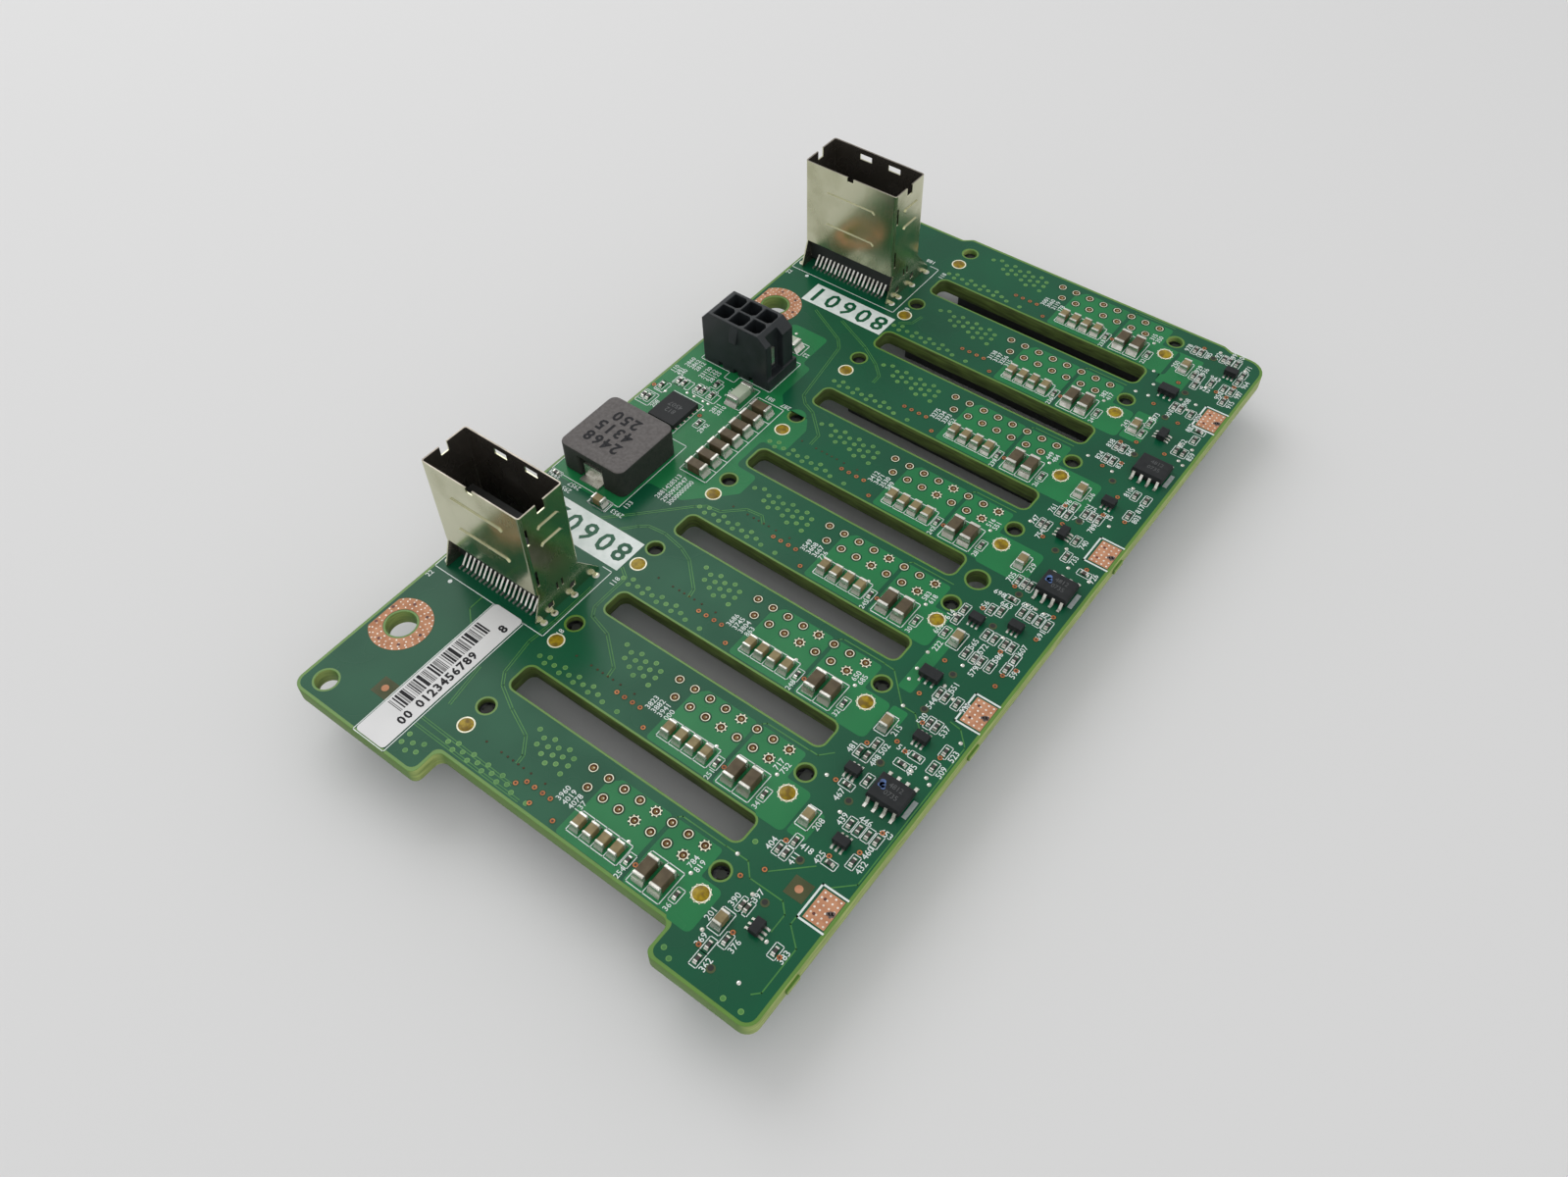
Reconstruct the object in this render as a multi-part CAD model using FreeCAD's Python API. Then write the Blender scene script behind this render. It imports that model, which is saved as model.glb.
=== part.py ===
"""Drive backplane board: eight drive connectors below, two cable ports and a power header above.

Frame: +X along the short side, +Y along the long side away from the bay 8 end, +Z up.
The origin is the centre of the resting face, under the drive connectors. Lengths are in mm.
"""

import FreeCAD, Part

import os
from math import hypot, sqrt

V = FreeCAD.Vector

# ---- circuit board -----------------------------------------------------------------------
# The board is three strips side by side: parts on the left, the air slots, parts on the right.
LEFT_STRIP = 22.9           # from the left edge to the air slots
RIGHT_STRIP = 15.1
FAR_MARGIN = 3.7            # from the far edge to the peg line of bay 1
NEAR_MARGIN = 13.0          # from the peg line of bay 8 to the near edge
BOARD_T = 2.4
CORNER_R = 1.8
FAR_RIGHT_R = 3.0
STEP_R = 0.8                # rounding of the small steps in the far edge
LEFT_STEP_IN = 20.7         # where the far edge steps down, from the left edge
LEFT_STEP_DROP = 1.1
RIGHT_STEP_IN = 7.0         # and from the right edge
RIGHT_STEP_DROP = 0.6
STEP_RUN = 1.4              # length of a step along the edge
LEG_STEP = 0.3              # the left leg ends this much short of the right one
NUB_OUT = 0.35              # stubs left where the board was snapped off its panel
NUB_LENGTH = 2.4
NUB_T = 0.8
RIGHT_NUBS = ((8, 5.5), (6, 1.1), (4, -3.4))        # bay, and back from its peg line
LEFT_NUBS = ((7, -1.0), (2, -0.1))

# ---- drive bays --------------------------------------------------------------------------
BAYS = 8
BAY_PITCH = 16.5
DRIVE_OFFSET = 0.35         # the connectors stand this far right of the slots' middle
PEG_OUT = 0.05              # a peg stands this far past the end of the housing
PEG_HOLE_R = 1.15           # peg holes are eight-sided here
PEG_GAP = 0.1
PEG_SHORT = 0.8             # a peg ends this far below the top of the board
HOLD_DOWN_BACK = 3.6        # from the peg line to the hold-down line
HOLD_DOWN_W = 1.8
HOLD_DOWN_T = 0.5
HOLD_DOWN_SHORT = 0.1       # a hold-down ends this far below the top of the board

DRIVE_H = 7.1               # height of a drive connector below the board
DRIVE_L = 38.4
DRIVE_DEPTH = 5.6
DRIVE_MOUTH_Y = 0.17        # middle of the mouth from the peg line
MOUTH_END = 2.3             # wall at each end of the mouth
MOUTH_SIDE = 1.35           # wall along each side of it
GUIDE_OUT = 1.3             # side guides reach this far past the mouth's ends
GUIDE_W = 1.2
GUIDE_ROOF = 1.5            # left above the side guides
EAR_L = 3.8
EAR_T = 2.6
EAR_BACK = 5.2              # from the peg line to the near end of an ear
EAR_FRONT = 1.9

POWER_PINS = 15
PIN_PITCH = 1.27            # the pins stand in two rows, turn about
LAST_PIN_IN = 1.17          # from the right end of the mouth to the last pin
PIN_W = 0.64
PIN_T = 0.4
PIN_FROM = 1.2              # tip of a pin above the connector's face

# ---- air slots ---------------------------------------------------------------------------
SLOT_W = 4.2
SLOT_BACK = 8.4             # from a peg line to the slot's far edge
SLOT_SHORT = 0.4            # a slot is this much shorter than a drive connector
SLOT_R = 1.1
SHORT_RIGHT_SLOT = 4        # this slot stops short of the guide hole beside it
SHORT_RIGHT_BY = 1.9
SHORT_LEFT_SLOT = 6
SHORT_LEFT_BY = 1.5

# ---- holes through the board ---------------------------------------------------------------
MOUNT_IN = 4.3              # from the left edge
MOUNT_R = 2.1
MOUNT_BAYS = (3, 8)
MOUNT_AHEAD = 2.5           # from the peg line of that bay
GUIDE_HOLE_R = 1.55
SLOT_GUIDE_OUT = 1.3        # guide hole right of the slots, in line with slot 4
SLOT_GUIDE_BACK = 0.45
CORNER_GUIDE_IN = 3.3       # guide hole in the near left corner
CORNER_GUIDE_UP = 3.4

# ---- cable ports -------------------------------------------------------------------------
PORT_BAYS = (2, 7)
PORT_AHEAD = 1.9            # from the peg line of that bay
PORT_IN = 10.45             # from the left edge
CAGE_L = 17.4
CAGE_D = 8.0
CAGE_H = 19.9
SHEET = 0.25
BEND_R = 0.5                # outside of the folds
CAGE_SKIRT = 4.85           # the long walls end this far above the board
TOE_NEAR = 1.2              # the end walls flare out at the foot
TOE_FAR = 3.2
TOE_H = 0.4
FOOT_W = 0.6                # soldered feet turned out from the end walls
FOOT_OUT = 0.75
FOOT_YS = (-4.3, -2.25, 1.7, 6.0)
END_NOTCH_W = 1.35
END_NOTCH_D = 1.55
END_NOTCH_Y = -0.2
LONG_NOTCH_W = 1.1
LONG_NOTCH_D = 0.8
WINDOW_W = 2.25
WINDOW_H = 0.95
WINDOW_DROP = 0.95          # from the top of the cage
WINDOW_SPACING = 5.5
WINDOW_X = 0.35
LONG_RIB_L = 9.7
END_RIB_L = 3.9
LONG_RIB_W = 0.9
END_RIB_W = 0.7
RIB_OUT = 0.2
LONG_RIBS_Z = (9.3, 15.2)
END_RIBS_Z = (12.7, 15.9)
END_RIB_Y = 0.5             # the end ribs stand off the middle
SPRING_W = 0.6              # spring tab between two slits low in each end wall
SPRING_SLIT = 0.35
SPRING_H = 1.3
SPRING_Z = 3.1
SPRING_Y = 0.1
LOW_HOLE = 0.95             # square holes at the foot of each end wall
LOW_HOLES = ((-2.1, 0.9), (2.15, 1.1))              # y from the middle, and height
SEAM_SLOT_W = 0.45          # the folds lap in a seam with two slots
SEAM_SLOTS_Z = ((6.4, 9.3), (14.5, 17.4))

PORT_BASE_D = 5.2
PORT_BASE_H = 5.4
PORT_STANDOFF = 0.5
PORT_PAD_L = 2.6            # two pads carry the base on the board
TONGUE_GAP = 0.6            # between the tongue and an end wall
TONGUE_D = 4.2
TONGUE_H = 11.0
CARD_SLOT_END = 0.55        # wall of the tongue past each end of the card slot
CARD_SLOT_W = 1.2
CARD_SLOT_D = 8.0
PORT_PINS = 18
PORT_PIN_PITCH = 0.8
PORT_PIN_W = 0.3
PORT_PIN_T = 0.2
PORT_PIN_FOOT = 0.7
PORT_PIN_RISE = 1.5
PORT_PIN_RUN = 1.2          # sloping stretch between the base and the foot
PORT_PIN_UNDER = 0.5        # the row behind starts this far under the base

# ---- power header --------------------------------------------------------------------------
HEADER_IN = 9.7             # from the left edge
HEADER_BAY = 4
HEADER_AHEAD = 5.1          # from the peg line of that bay
HEADER_L = 12.6
HEADER_D = 6.6
HEADER_H = 9.9
HEADER_SLOPE_H = 1.5        # the ends slope in at the top
HEADER_SLOPE_LEFT = 1.3
HEADER_SLOPE_RIGHT = 1.7
HEADER_COLUMNS = 3
HEADER_ROWS = 2
HEADER_PITCH = 3.0
CAVITY = 2.6
CAVITY_CORNER = 0.5         # the right corners of a cavity are cut across
CAVITY_FLOOR = 1.6
HEADER_PIN = 0.64
HEADER_PIN_H = 7.4
LATCH_W = 2.9
LATCH_D = 1.15
LATCH_FLOOR = 2.0
LATCH_Y = -0.65             # the recess stands off the middle
PLINTH_H = 2.0
PLINTH_OUT = 0.6
RAMP_W = 1.4                # latch ramp on the near face
RAMP_H = 3.0
RAMP_OUT = 0.5
RAMP_DROP = 0.4             # from the top
HEADER_FOOT_W = 0.8
HEADER_FOOT_D = 0.5
HEADER_FOOT_H = 1.0
CLIP_T = 0.3
CLIP_W = 0.7
CLIP_H = 3.3
CLIP_RISE = 1.1             # from the floor of the recess

# ---- inductor and chips --------------------------------------------------------------------
INDUCTOR_IN = 7.3           # from the left edge
POWER_BAY = 5               # inductor and regulator stand beside this bay
INDUCTOR_BACK = 6.2
INDUCTOR_L = 12.0
INDUCTOR_D = 12.2
INDUCTOR_H = 5.0
INDUCTOR_R = 1.3
NOTCH_W = 4.4
NOTCH_D = 0.8
NOTCH_H = 3.9
TERMINAL_W = 3.6
TERMINAL_T = 0.3
TERMINAL_H = 2.5
TERMINAL_FOOT = 0.8

REGULATOR_AHEAD = 6.0
REGULATOR = (5.0, 6.0, 0.9)

SWITCH_OUT = 10.95          # from the right end of the slots
SWITCHES = ((3, -4.6), (5, -10.0), (7, -3.3))       # bay, and back from its peg line
SWITCH_L = 4.9
SWITCH_D = 3.9
SWITCH_H = 1.45
SWITCH_LIFT = 0.15
SWITCH_LEADS = 4
SWITCH_LEAD_PITCH = 1.27
SWITCH_LEAD_W = 0.42
SWITCH_LEAD_T = 0.2
SWITCH_LEAD_OUT = 1.05
SWITCH_LEAD_FOOT = 0.6
SWITCH_LEAD_TOP = 0.75

# small outline parts: six leads, three a side
SMALL_L = 2.0
SMALL_D = 1.25
SMALL_PITCH = 0.65
WIDE_L = 2.9
WIDE_D = 1.6
WIDE_PITCH = 0.95
OUTLINE_H = 0.95
OUTLINE_LEAD_W = 0.28
OUTLINE_LEAD_T = 0.15       # each lead runs straight across under the body
OUTLINE_LEAD_OUT = 0.45
SMALL_PARTS = (             # bay, back, out from the slots, and whether the leads point along X
    (1, 2.0, 11.0, False), (2, 4.15, 8.75, True), (3, 4.5, 8.95, False), (4, -3.0, 6.6, True),
    (5, -1.35, 9.85, False), (5, 0.6, 4.95, False), (7, -12.4, 9.4, False),
    (7, -3.6, 5.25, False), (7, 5.2, 9.8, False), (8, 3.1, 8.45, True),
)
WIDE_PARTS = ((2, -5.0, 5.05), (6, -4.65, 5.05))

# ---- ceramic capacitors, resistors and fuses ------------------------------------------------
SMALL_CAP = (1.25, 2.0, 1.25)
SMALL_CAP_OUT = 4.0         # first of four in a bay, from its first power pin
SMALL_CAP_PITCH = 2.0
SMALL_CAPS = 4
SMALL_CAP_BACK = 5.35       # from the peg line
LARGE_CAP = (1.65, 3.2, 1.6)
LARGE_CAP_END = 0.5
LARGE_CAP_OUT = 14.5
LARGE_CAP_PITCH = 2.5
LARGE_CAPS = 2
LARGE_CAP_BACK = 5.2
SIDE_CAP_OUT = 4.6          # one beside each bay, from the right end of the slots
SIDE_CAP_BACK = 4.8
NEAR_CAP_IN = 10.85         # one by the inductor
NEAR_CAP_BACK = 14.75
BANK_IN = 18.05             # the bank beside the regulator, from the left edge
BANK_BAY = 4
BANK_BACK = 2.55
BANK_PITCH = 2.55
BANK_CAPS = 7

CHIP = (0.5, 1.0, 0.35)     # the smallest resistors and capacitors
CHIP_PAST_SMALL = 1.8       # one right of the small capacitors of a bay
CHIP_PAST_LARGE = 2.2       # and one right of the large ones
BAY_CHIP_BACK = 5.45
SHUNTS = 4                  # a row of four beside two of the switches
SHUNT_PITCH = 1.28
SHUNT_BACK = 5.8
SHUNT_OUT = 9.15
SHUNT_BAYS = (5, 7)
UPRIGHT_ROWS = (            # bay, back from its peg line, and places out from the slots
    (1, -0.7, (8.7, 9.6, 10.8)), (1, 0.0, (4.1, 5.1)), (1, 1.2, (12.7,)), (1, 2.9, (12.7,)),
    (1, 5.6, (6.5, 7.5, 9.5, 11.6, 12.8)), (1, 7.4, (7.6,)), (1, 8.3, (12.7,)),
    (2, -2.9, (7.3, 8.3)), (2, -2.7, (10.1,)), (2, 2.0, (13.0,)), (2, 2.7, (6.0,)),
    (2, 5.4, (6.0,)), (2, 5.5, (11.8, 12.9)),
    (3, -6.7, (4.4, 5.3)), (3, -3.5, (4.3, 5.3)), (3, 0.8, (11.3, 13.0)), (3, 4.8, (12.3,)),
    (3, 7.9, (5.3,)), (3, 8.1, (7.3, 8.3, 9.3)), (3, 9.8, (4.1, 5.3)),
    (4, -3.2, (3.1, 3.9)), (4, -3.1, (8.7,)), (4, 0.2, (9.0,)),
    (5, -8.7, (5.9, 6.9, 7.7)), (5, -2.7, (6.8,)), (5, -2.2, (5.6,)), (5, -0.1, (2.7,)),
    (5, 1.7, (10.1, 11.1)), (5, 1.8, (2.7, 7.3, 8.5)), (5, 3.1, (12.4,)), (5, 4.7, (2.7,)),
    (5, 5.0, (12.3,)), (5, 6.0, (6.7, 8.1, 9.0, 10.4)),
    (6, -3.1, (7.4, 8.4, 10.1)), (6, 1.4, (8.9, 9.9)),
    (7, -12.7, (12.8,)), (7, -9.9, (12.8,)), (7, -8.5, (5.3,)), (7, -6.5, (4.2, 5.3)),
    (7, -3.6, (7.4,)), (7, 6.4, (12.3,)), (7, 8.2, (5.3,)), (7, 10.1, (4.3, 5.3)),
    (8, 1.8, (5.3, 6.0)), (8, 4.0, (11.7,)), (8, 6.3, (6.5,)), (8, 7.9, (5.3,)),
    (8, 9.9, (5.3,)),
)
FLAT_ROWS = (               # the same, long side along X
    (2, 0.0, (12.7,)), (5, -15.0, (12.5,)), (5, -5.3, (6.9,)), (7, -9.9, (10.3,)),
    (7, -8.0, (9.4,)), (7, -1.6, (5.7,)), (7, 8.2, (10.2,)),
)
POWER_UPRIGHT_ROWS = (      # back from the peg line of the power bay, and in from the left edge
    (-14.8, (8.8,)), (-12.4, (7.0, 8.0, 9.7)), (-12.0, (3.5, 4.5)), (-9.6, (1.9,)),
    (-6.4, (12.0,)), (-6.3, (1.1, 2.0)),
)
POWER_FLAT_ROWS = ((14.1, (1.7,)),)

FUSE = (2.0, 4.2, 1.5)
FUSE_END = 0.7
FUSE_IN = 13.45
FUSE_BAY = 4
FUSE_BACK = 1.8
SIDE_FUSE_IN = 11.9
SIDE_FUSE_BAY = 3
SIDE_FUSE_BACK = 4.1

# ---- label ------------------------------------------------------------------------------------
LABEL = (5.2, 25.0, 0.1)
LABEL_IN = 14.7             # from the left edge
LABEL_CLEAR = 0.6           # from the near toe of the cage

# ---- worked-out sizes and places ----------------------------------------------------------------
TOP = DRIVE_H + BOARD_T
SLOT_L = DRIVE_L - SLOT_SHORT
BOARD_W = LEFT_STRIP + SLOT_L + RIGHT_STRIP
BOARD_L = FAR_MARGIN + BAY_PITCH * (BAYS - 1) + NEAR_MARGIN
RIGHT = BOARD_W / 2.0
LEFT = -RIGHT
FAR = BOARD_L / 2.0
NEAR = -FAR
SLOT_LEFT = LEFT + LEFT_STRIP
SLOT_RIGHT = RIGHT - RIGHT_STRIP
BAY_YS = [FAR - FAR_MARGIN - BAY_PITCH * i for i in range(BAYS)]

DRIVE_X = (SLOT_LEFT + SLOT_RIGHT) / 2.0 + DRIVE_OFFSET
PEG_SPAN = DRIVE_L + PEG_OUT * 2.0
MOUTH_L = DRIVE_L - MOUTH_END * 2.0
MOUTH_W = DRIVE_DEPTH - MOUTH_SIDE * 2.0
FIRST_PIN_X = DRIVE_X + MOUTH_L / 2.0 - LAST_PIN_IN - PIN_PITCH * (POWER_PINS - 1)

MOUNT_X = LEFT + MOUNT_IN
MOUNT_YS = [BAY_YS[bay - 1] + MOUNT_AHEAD for bay in MOUNT_BAYS]
PORT_X = LEFT + PORT_IN
PORT_YS = [BAY_YS[bay - 1] + PORT_AHEAD for bay in PORT_BAYS]
TONGUE_L = CAGE_L - (SHEET + TONGUE_GAP) * 2.0
CARD_SLOT_L = TONGUE_L - CARD_SLOT_END * 2.0
HEADER_X = LEFT + HEADER_IN
HEADER_Y = BAY_YS[HEADER_BAY - 1] + HEADER_AHEAD
INDUCTOR_X = LEFT + INDUCTOR_IN
INDUCTOR_Y = BAY_YS[POWER_BAY - 1] - INDUCTOR_BACK
SWITCH_X = SLOT_RIGHT + SWITCH_OUT
LABEL_Y = PORT_YS[-1] - CAGE_D / 2.0 - TOE_NEAR - LABEL_CLEAR - LABEL[1] / 2.0


# ---- helpers ----------------------------------------------------------------------------------
def block(x, y, z, length, depth, height):
    """Box centred on x and y, standing on z."""
    return Part.makeBox(length, depth, height, V(x - length / 2.0, y - depth / 2.0, z))


def span(x0, x1, y0, y1, z0, z1):
    """Box between two corners."""
    return Part.makeBox(x1 - x0, y1 - y0, z1 - z0, V(x0, y0, z0))


def rounded_wire(corners, z):
    """Closed outline through corners (x, y, radius), each rounded by an arc."""
    edges = []
    count = len(corners)
    ends = []
    for i, (x, y, radius) in enumerate(corners):
        before = corners[i - 1]
        after = corners[(i + 1) % count]
        ax, ay = before[0] - x, before[1] - y
        bx, by = after[0] - x, after[1] - y
        la, lb = hypot(ax, ay), hypot(bx, by)
        ax, ay, bx, by = ax / la, ay / la, bx / lb, by / lb
        cos_full = ax * bx + ay * by
        half_sin = sqrt((1.0 - cos_full) / 2.0)
        half_cos = sqrt((1.0 + cos_full) / 2.0)
        back = radius * half_cos / half_sin
        mx, my = ax + bx, ay + by
        middle = hypot(mx, my)
        reach = radius / half_sin - radius
        ends.append((
            V(x + ax * back, y + ay * back, z),
            V(x + mx / middle * reach, y + my / middle * reach, z),
            V(x + bx * back, y + by * back, z),
        ))
    for i, (start, middle, end) in enumerate(ends):
        edges.append(Part.Arc(start, middle, end).toShape())
        edges.append(Part.LineSegment(end, ends[(i + 1) % count][0]).toShape())
    return Part.Wire(edges)


def plate(corners, z, thickness):
    """Flat plate with a rounded outline."""
    return Part.Face(rounded_wire(corners, z)).extrude(V(0, 0, thickness))


def rounded_block(x, y, z, length, depth, height, radius):
    """Block with rounded upright edges."""
    a, b = length / 2.0, depth / 2.0
    corners = [(x - a, y - b, radius), (x + a, y - b, radius),
               (x + a, y + b, radius), (x - a, y + b, radius)]
    return plate(corners, z, height)


def prism(points, sweep):
    """Straight-sided outline swept along a vector."""
    return Part.Face(Part.makePolygon(points + points[:1])).extrude(sweep)


def drill(x, y, radius):
    """Round cutter through the board."""
    return Part.makeCylinder(radius, BOARD_T * 2.0, V(x, y, DRIVE_H - BOARD_T / 2.0))


def octagon(x, y, radius, z, height):
    """Eight-sided column, flat to flat as wide as a circle of the radius."""
    far = radius
    near = radius * (sqrt(2.0) - 1.0)
    corners = [V(x + cx, y + cy, z) for cx, cy in (
        (far, near), (near, far), (-near, far), (-far, near),
        (-far, -near), (-near, -far), (near, -far), (far, -near))]
    return prism(corners, V(0, 0, height))


def back_of(bay, back):
    """Place along Y this far back from the peg line of a bay, counted from 1."""
    return BAY_YS[bay - 1] - back


def slot_middle(number):
    """Middle along Y of the slot between bay NUMBER and the next."""
    return back_of(number, SLOT_BACK + SLOT_W / 2.0)


def pin_places(bay_y):
    """Power pins of one bay: two staggered rows, one at each side of the mouth."""
    half = (MOUTH_W - PIN_T) / 2.0
    for i in range(POWER_PINS):
        side = half if i % 2 == 0 else -half
        yield FIRST_PIN_X + PIN_PITCH * i, bay_y + DRIVE_MOUTH_Y + side


def both_ends(middle, apart):
    """The two places on either side of a middle."""
    return middle - apart / 2.0, middle + apart / 2.0


# ---- circuit board -----------------------------------------------------------------------------
def board_outline():
    """Outer corners, from the near left one round to the far left one."""
    near_left_y = NEAR + LEG_STEP
    notch_y = BAY_YS[-1] - SLOT_BACK
    run = STEP_RUN / 2.0
    right_step = RIGHT - RIGHT_STEP_IN
    left_step = LEFT + LEFT_STEP_IN
    return [
        (LEFT, near_left_y, CORNER_R),
        (SLOT_LEFT, near_left_y, SLOT_R),
        (SLOT_LEFT, notch_y, SLOT_R),
        (SLOT_RIGHT, notch_y, SLOT_R),
        (SLOT_RIGHT, NEAR, SLOT_R),
        (RIGHT, NEAR, CORNER_R),
        (RIGHT, FAR - RIGHT_STEP_DROP, FAR_RIGHT_R),
        (right_step + run, FAR - RIGHT_STEP_DROP, STEP_R),
        (right_step - run, FAR, STEP_R),
        (left_step + run, FAR, STEP_R),
        (left_step - run, FAR - LEFT_STEP_DROP, STEP_R),
        (LEFT, FAR - LEFT_STEP_DROP, CORNER_R),
    ]


def air_slot(number):
    """Cutter for the slot between bay NUMBER and the next."""
    left, right = SLOT_LEFT, SLOT_RIGHT
    if number == SHORT_RIGHT_SLOT:
        right -= SHORT_RIGHT_BY
    if number == SHORT_LEFT_SLOT:
        left += SHORT_LEFT_BY
    return rounded_block((left + right) / 2.0, slot_middle(number), DRIVE_H - BOARD_T / 2.0,
                         right - left, SLOT_W, BOARD_T * 2.0, SLOT_R)


def nub(x, y):
    """Snapped-off stub on a long edge."""
    return block(x, y, DRIVE_H + (BOARD_T - NUB_T) / 2.0, NUB_OUT * 2.0, NUB_LENGTH, NUB_T)


def circuit_board():
    """Board with its air slots, peg holes, hold-down slits and round holes."""
    body = plate(board_outline(), DRIVE_H, BOARD_T)
    body = body.fuse([nub(RIGHT, back_of(*place)) for place in RIGHT_NUBS]
                     + [nub(LEFT, back_of(*place)) for place in LEFT_NUBS])
    cutters = [air_slot(number) for number in range(1, BAYS)]
    for y in BAY_YS:
        for x in both_ends(DRIVE_X, PEG_SPAN):
            cutters.append(octagon(x, y, PEG_HOLE_R, DRIVE_H - BOARD_T / 2.0, BOARD_T * 2.0))
            cutters.append(block(x, y - HOLD_DOWN_BACK, DRIVE_H - BOARD_T / 2.0,
                                 HOLD_DOWN_W, HOLD_DOWN_T, BOARD_T * 2.0))
    for y in MOUNT_YS:
        cutters.append(drill(MOUNT_X, y, MOUNT_R))
    cutters.append(drill(SLOT_RIGHT + SLOT_GUIDE_OUT,
                         slot_middle(SHORT_RIGHT_SLOT) - SLOT_GUIDE_BACK, GUIDE_HOLE_R))
    cutters.append(drill(LEFT + CORNER_GUIDE_IN, NEAR + CORNER_GUIDE_UP, GUIDE_HOLE_R))
    return body.cut(cutters).removeSplitter()


# ---- drive connectors ---------------------------------------------------------------------------
def peg(x, y):
    """Six-sided locating peg that bites in its hole."""
    radius = PEG_HOLE_R - PEG_GAP
    corners = [V(x + radius * cx, y + radius * cy, DRIVE_H) for cx, cy in
               ((1, 0), (0.5, 0.866), (-0.5, 0.866), (-1, 0), (-0.5, -0.866), (0.5, -0.866))]
    return prism(corners, V(0, 0, BOARD_T - PEG_SHORT))


def drive_housing(y):
    """Moulded shell with the drive's mouth in its lower face, two ears and two pegs."""
    mouth_y = y + DRIVE_MOUTH_Y
    ear_top = DRIVE_H - EAR_T
    body = block(DRIVE_X, mouth_y, 0, DRIVE_L, DRIVE_DEPTH, DRIVE_H)
    parts = []
    for x in both_ends(DRIVE_X, PEG_SPAN):
        parts.append(span(x - EAR_L / 2.0, x + EAR_L / 2.0, y - EAR_BACK, y + EAR_FRONT,
                          ear_top, DRIVE_H))
        parts.append(peg(x, y))
    mouth = block(DRIVE_X, mouth_y, 0, MOUTH_L, MOUTH_W, DRIVE_H)
    guides = block(DRIVE_X, mouth_y, 0, MOUTH_L + GUIDE_OUT * 2.0, GUIDE_W,
                   DRIVE_H - GUIDE_ROOF)
    hold_downs = [hold_down(x, y) for x in both_ends(DRIVE_X, PEG_SPAN)]
    return body.fuse(parts).cut([mouth, guides] + hold_downs).removeSplitter()


def drive_contacts(y):
    """Power blades along both walls of the mouth, up to their pads under the board."""
    return [block(x, pin_y, PIN_FROM, PIN_W, PIN_T, DRIVE_H - PIN_FROM)
            for x, pin_y in pin_places(y)]


def hold_down(x, y):
    """Flat metal prong that is soldered in the plated hole behind a peg."""
    foot = DRIVE_H - EAR_T
    return block(x, y - HOLD_DOWN_BACK, foot, HOLD_DOWN_W, HOLD_DOWN_T,
                 TOP - HOLD_DOWN_SHORT - foot)


# ---- cable ports ----------------------------------------------------------------------------------
def rib(middle, along, outward, width):
    """Embossed strip with pointed ends: its middle, half its length and its height as vectors."""
    rise = V(0, 0, width / 2.0)
    run = along * (1.0 - width / 2.0 / along.Length)
    corners = [middle - along, middle - run + rise, middle + run + rise,
               middle + along, middle + run - rise, middle - run - rise]
    return prism(corners, outward * RIB_OUT)


def cage_end_wall(x, y, outward):
    """Foot of one end wall in the YZ plane: flared toes and four soldered feet turned out."""
    near = y - CAGE_D / 2.0
    far = y + CAGE_D / 2.0
    inner = x - SHEET if outward > 0 else x
    outline = [
        V(inner, near - TOE_NEAR, TOP), V(inner, far + TOE_FAR, TOP),
        V(inner, far + TOE_FAR, TOP + TOE_H), V(inner, far - BEND_R, TOP + CAGE_SKIRT),
        V(inner, near + BEND_R, TOP + CAGE_SKIRT), V(inner, near - TOE_NEAR, TOP + TOE_H),
    ]
    out = V(outward, 0, 0)
    parts = [block(x + outward * FOOT_OUT / 2.0, y + foot_y, TOP, FOOT_OUT, FOOT_W, SHEET)
             for foot_y in FOOT_YS]
    parts += [rib(V(x, y + END_RIB_Y, TOP + z), V(0, END_RIB_L / 2.0, 0), out, END_RIB_W)
              for z in END_RIBS_Z]
    return prism(outline, V(SHEET, 0, 0)).fuse(parts)


def end_wall_cuts(x, y):
    """Cutters for one end wall: the notch in its rim, the spring's slits and the low holes."""
    through = SHEET * 4.0
    cutters = [block(x, y + END_NOTCH_Y, TOP + CAGE_H - END_NOTCH_D, through, END_NOTCH_W,
                     END_NOTCH_D * 2.0)]
    for slit_y in both_ends(y + SPRING_Y, SPRING_W + SPRING_SLIT):
        cutters.append(block(x, slit_y, TOP + SPRING_Z, through, SPRING_SLIT, SPRING_H))
    for hole_y, hole_z in LOW_HOLES:
        cutters.append(block(x, y + hole_y, TOP + hole_z, through, LOW_HOLE, LOW_HOLE))
    return cutters


def seam_cuts(x, near):
    """Cutters for the lapped corner: two slots beside the fold."""
    side = near + BEND_R
    return [span(x - SHEET * 2.0, x + SHEET, side, side + SEAM_SLOT_W, TOP + low, TOP + high)
            for low, high in SEAM_SLOTS_Z]


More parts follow.
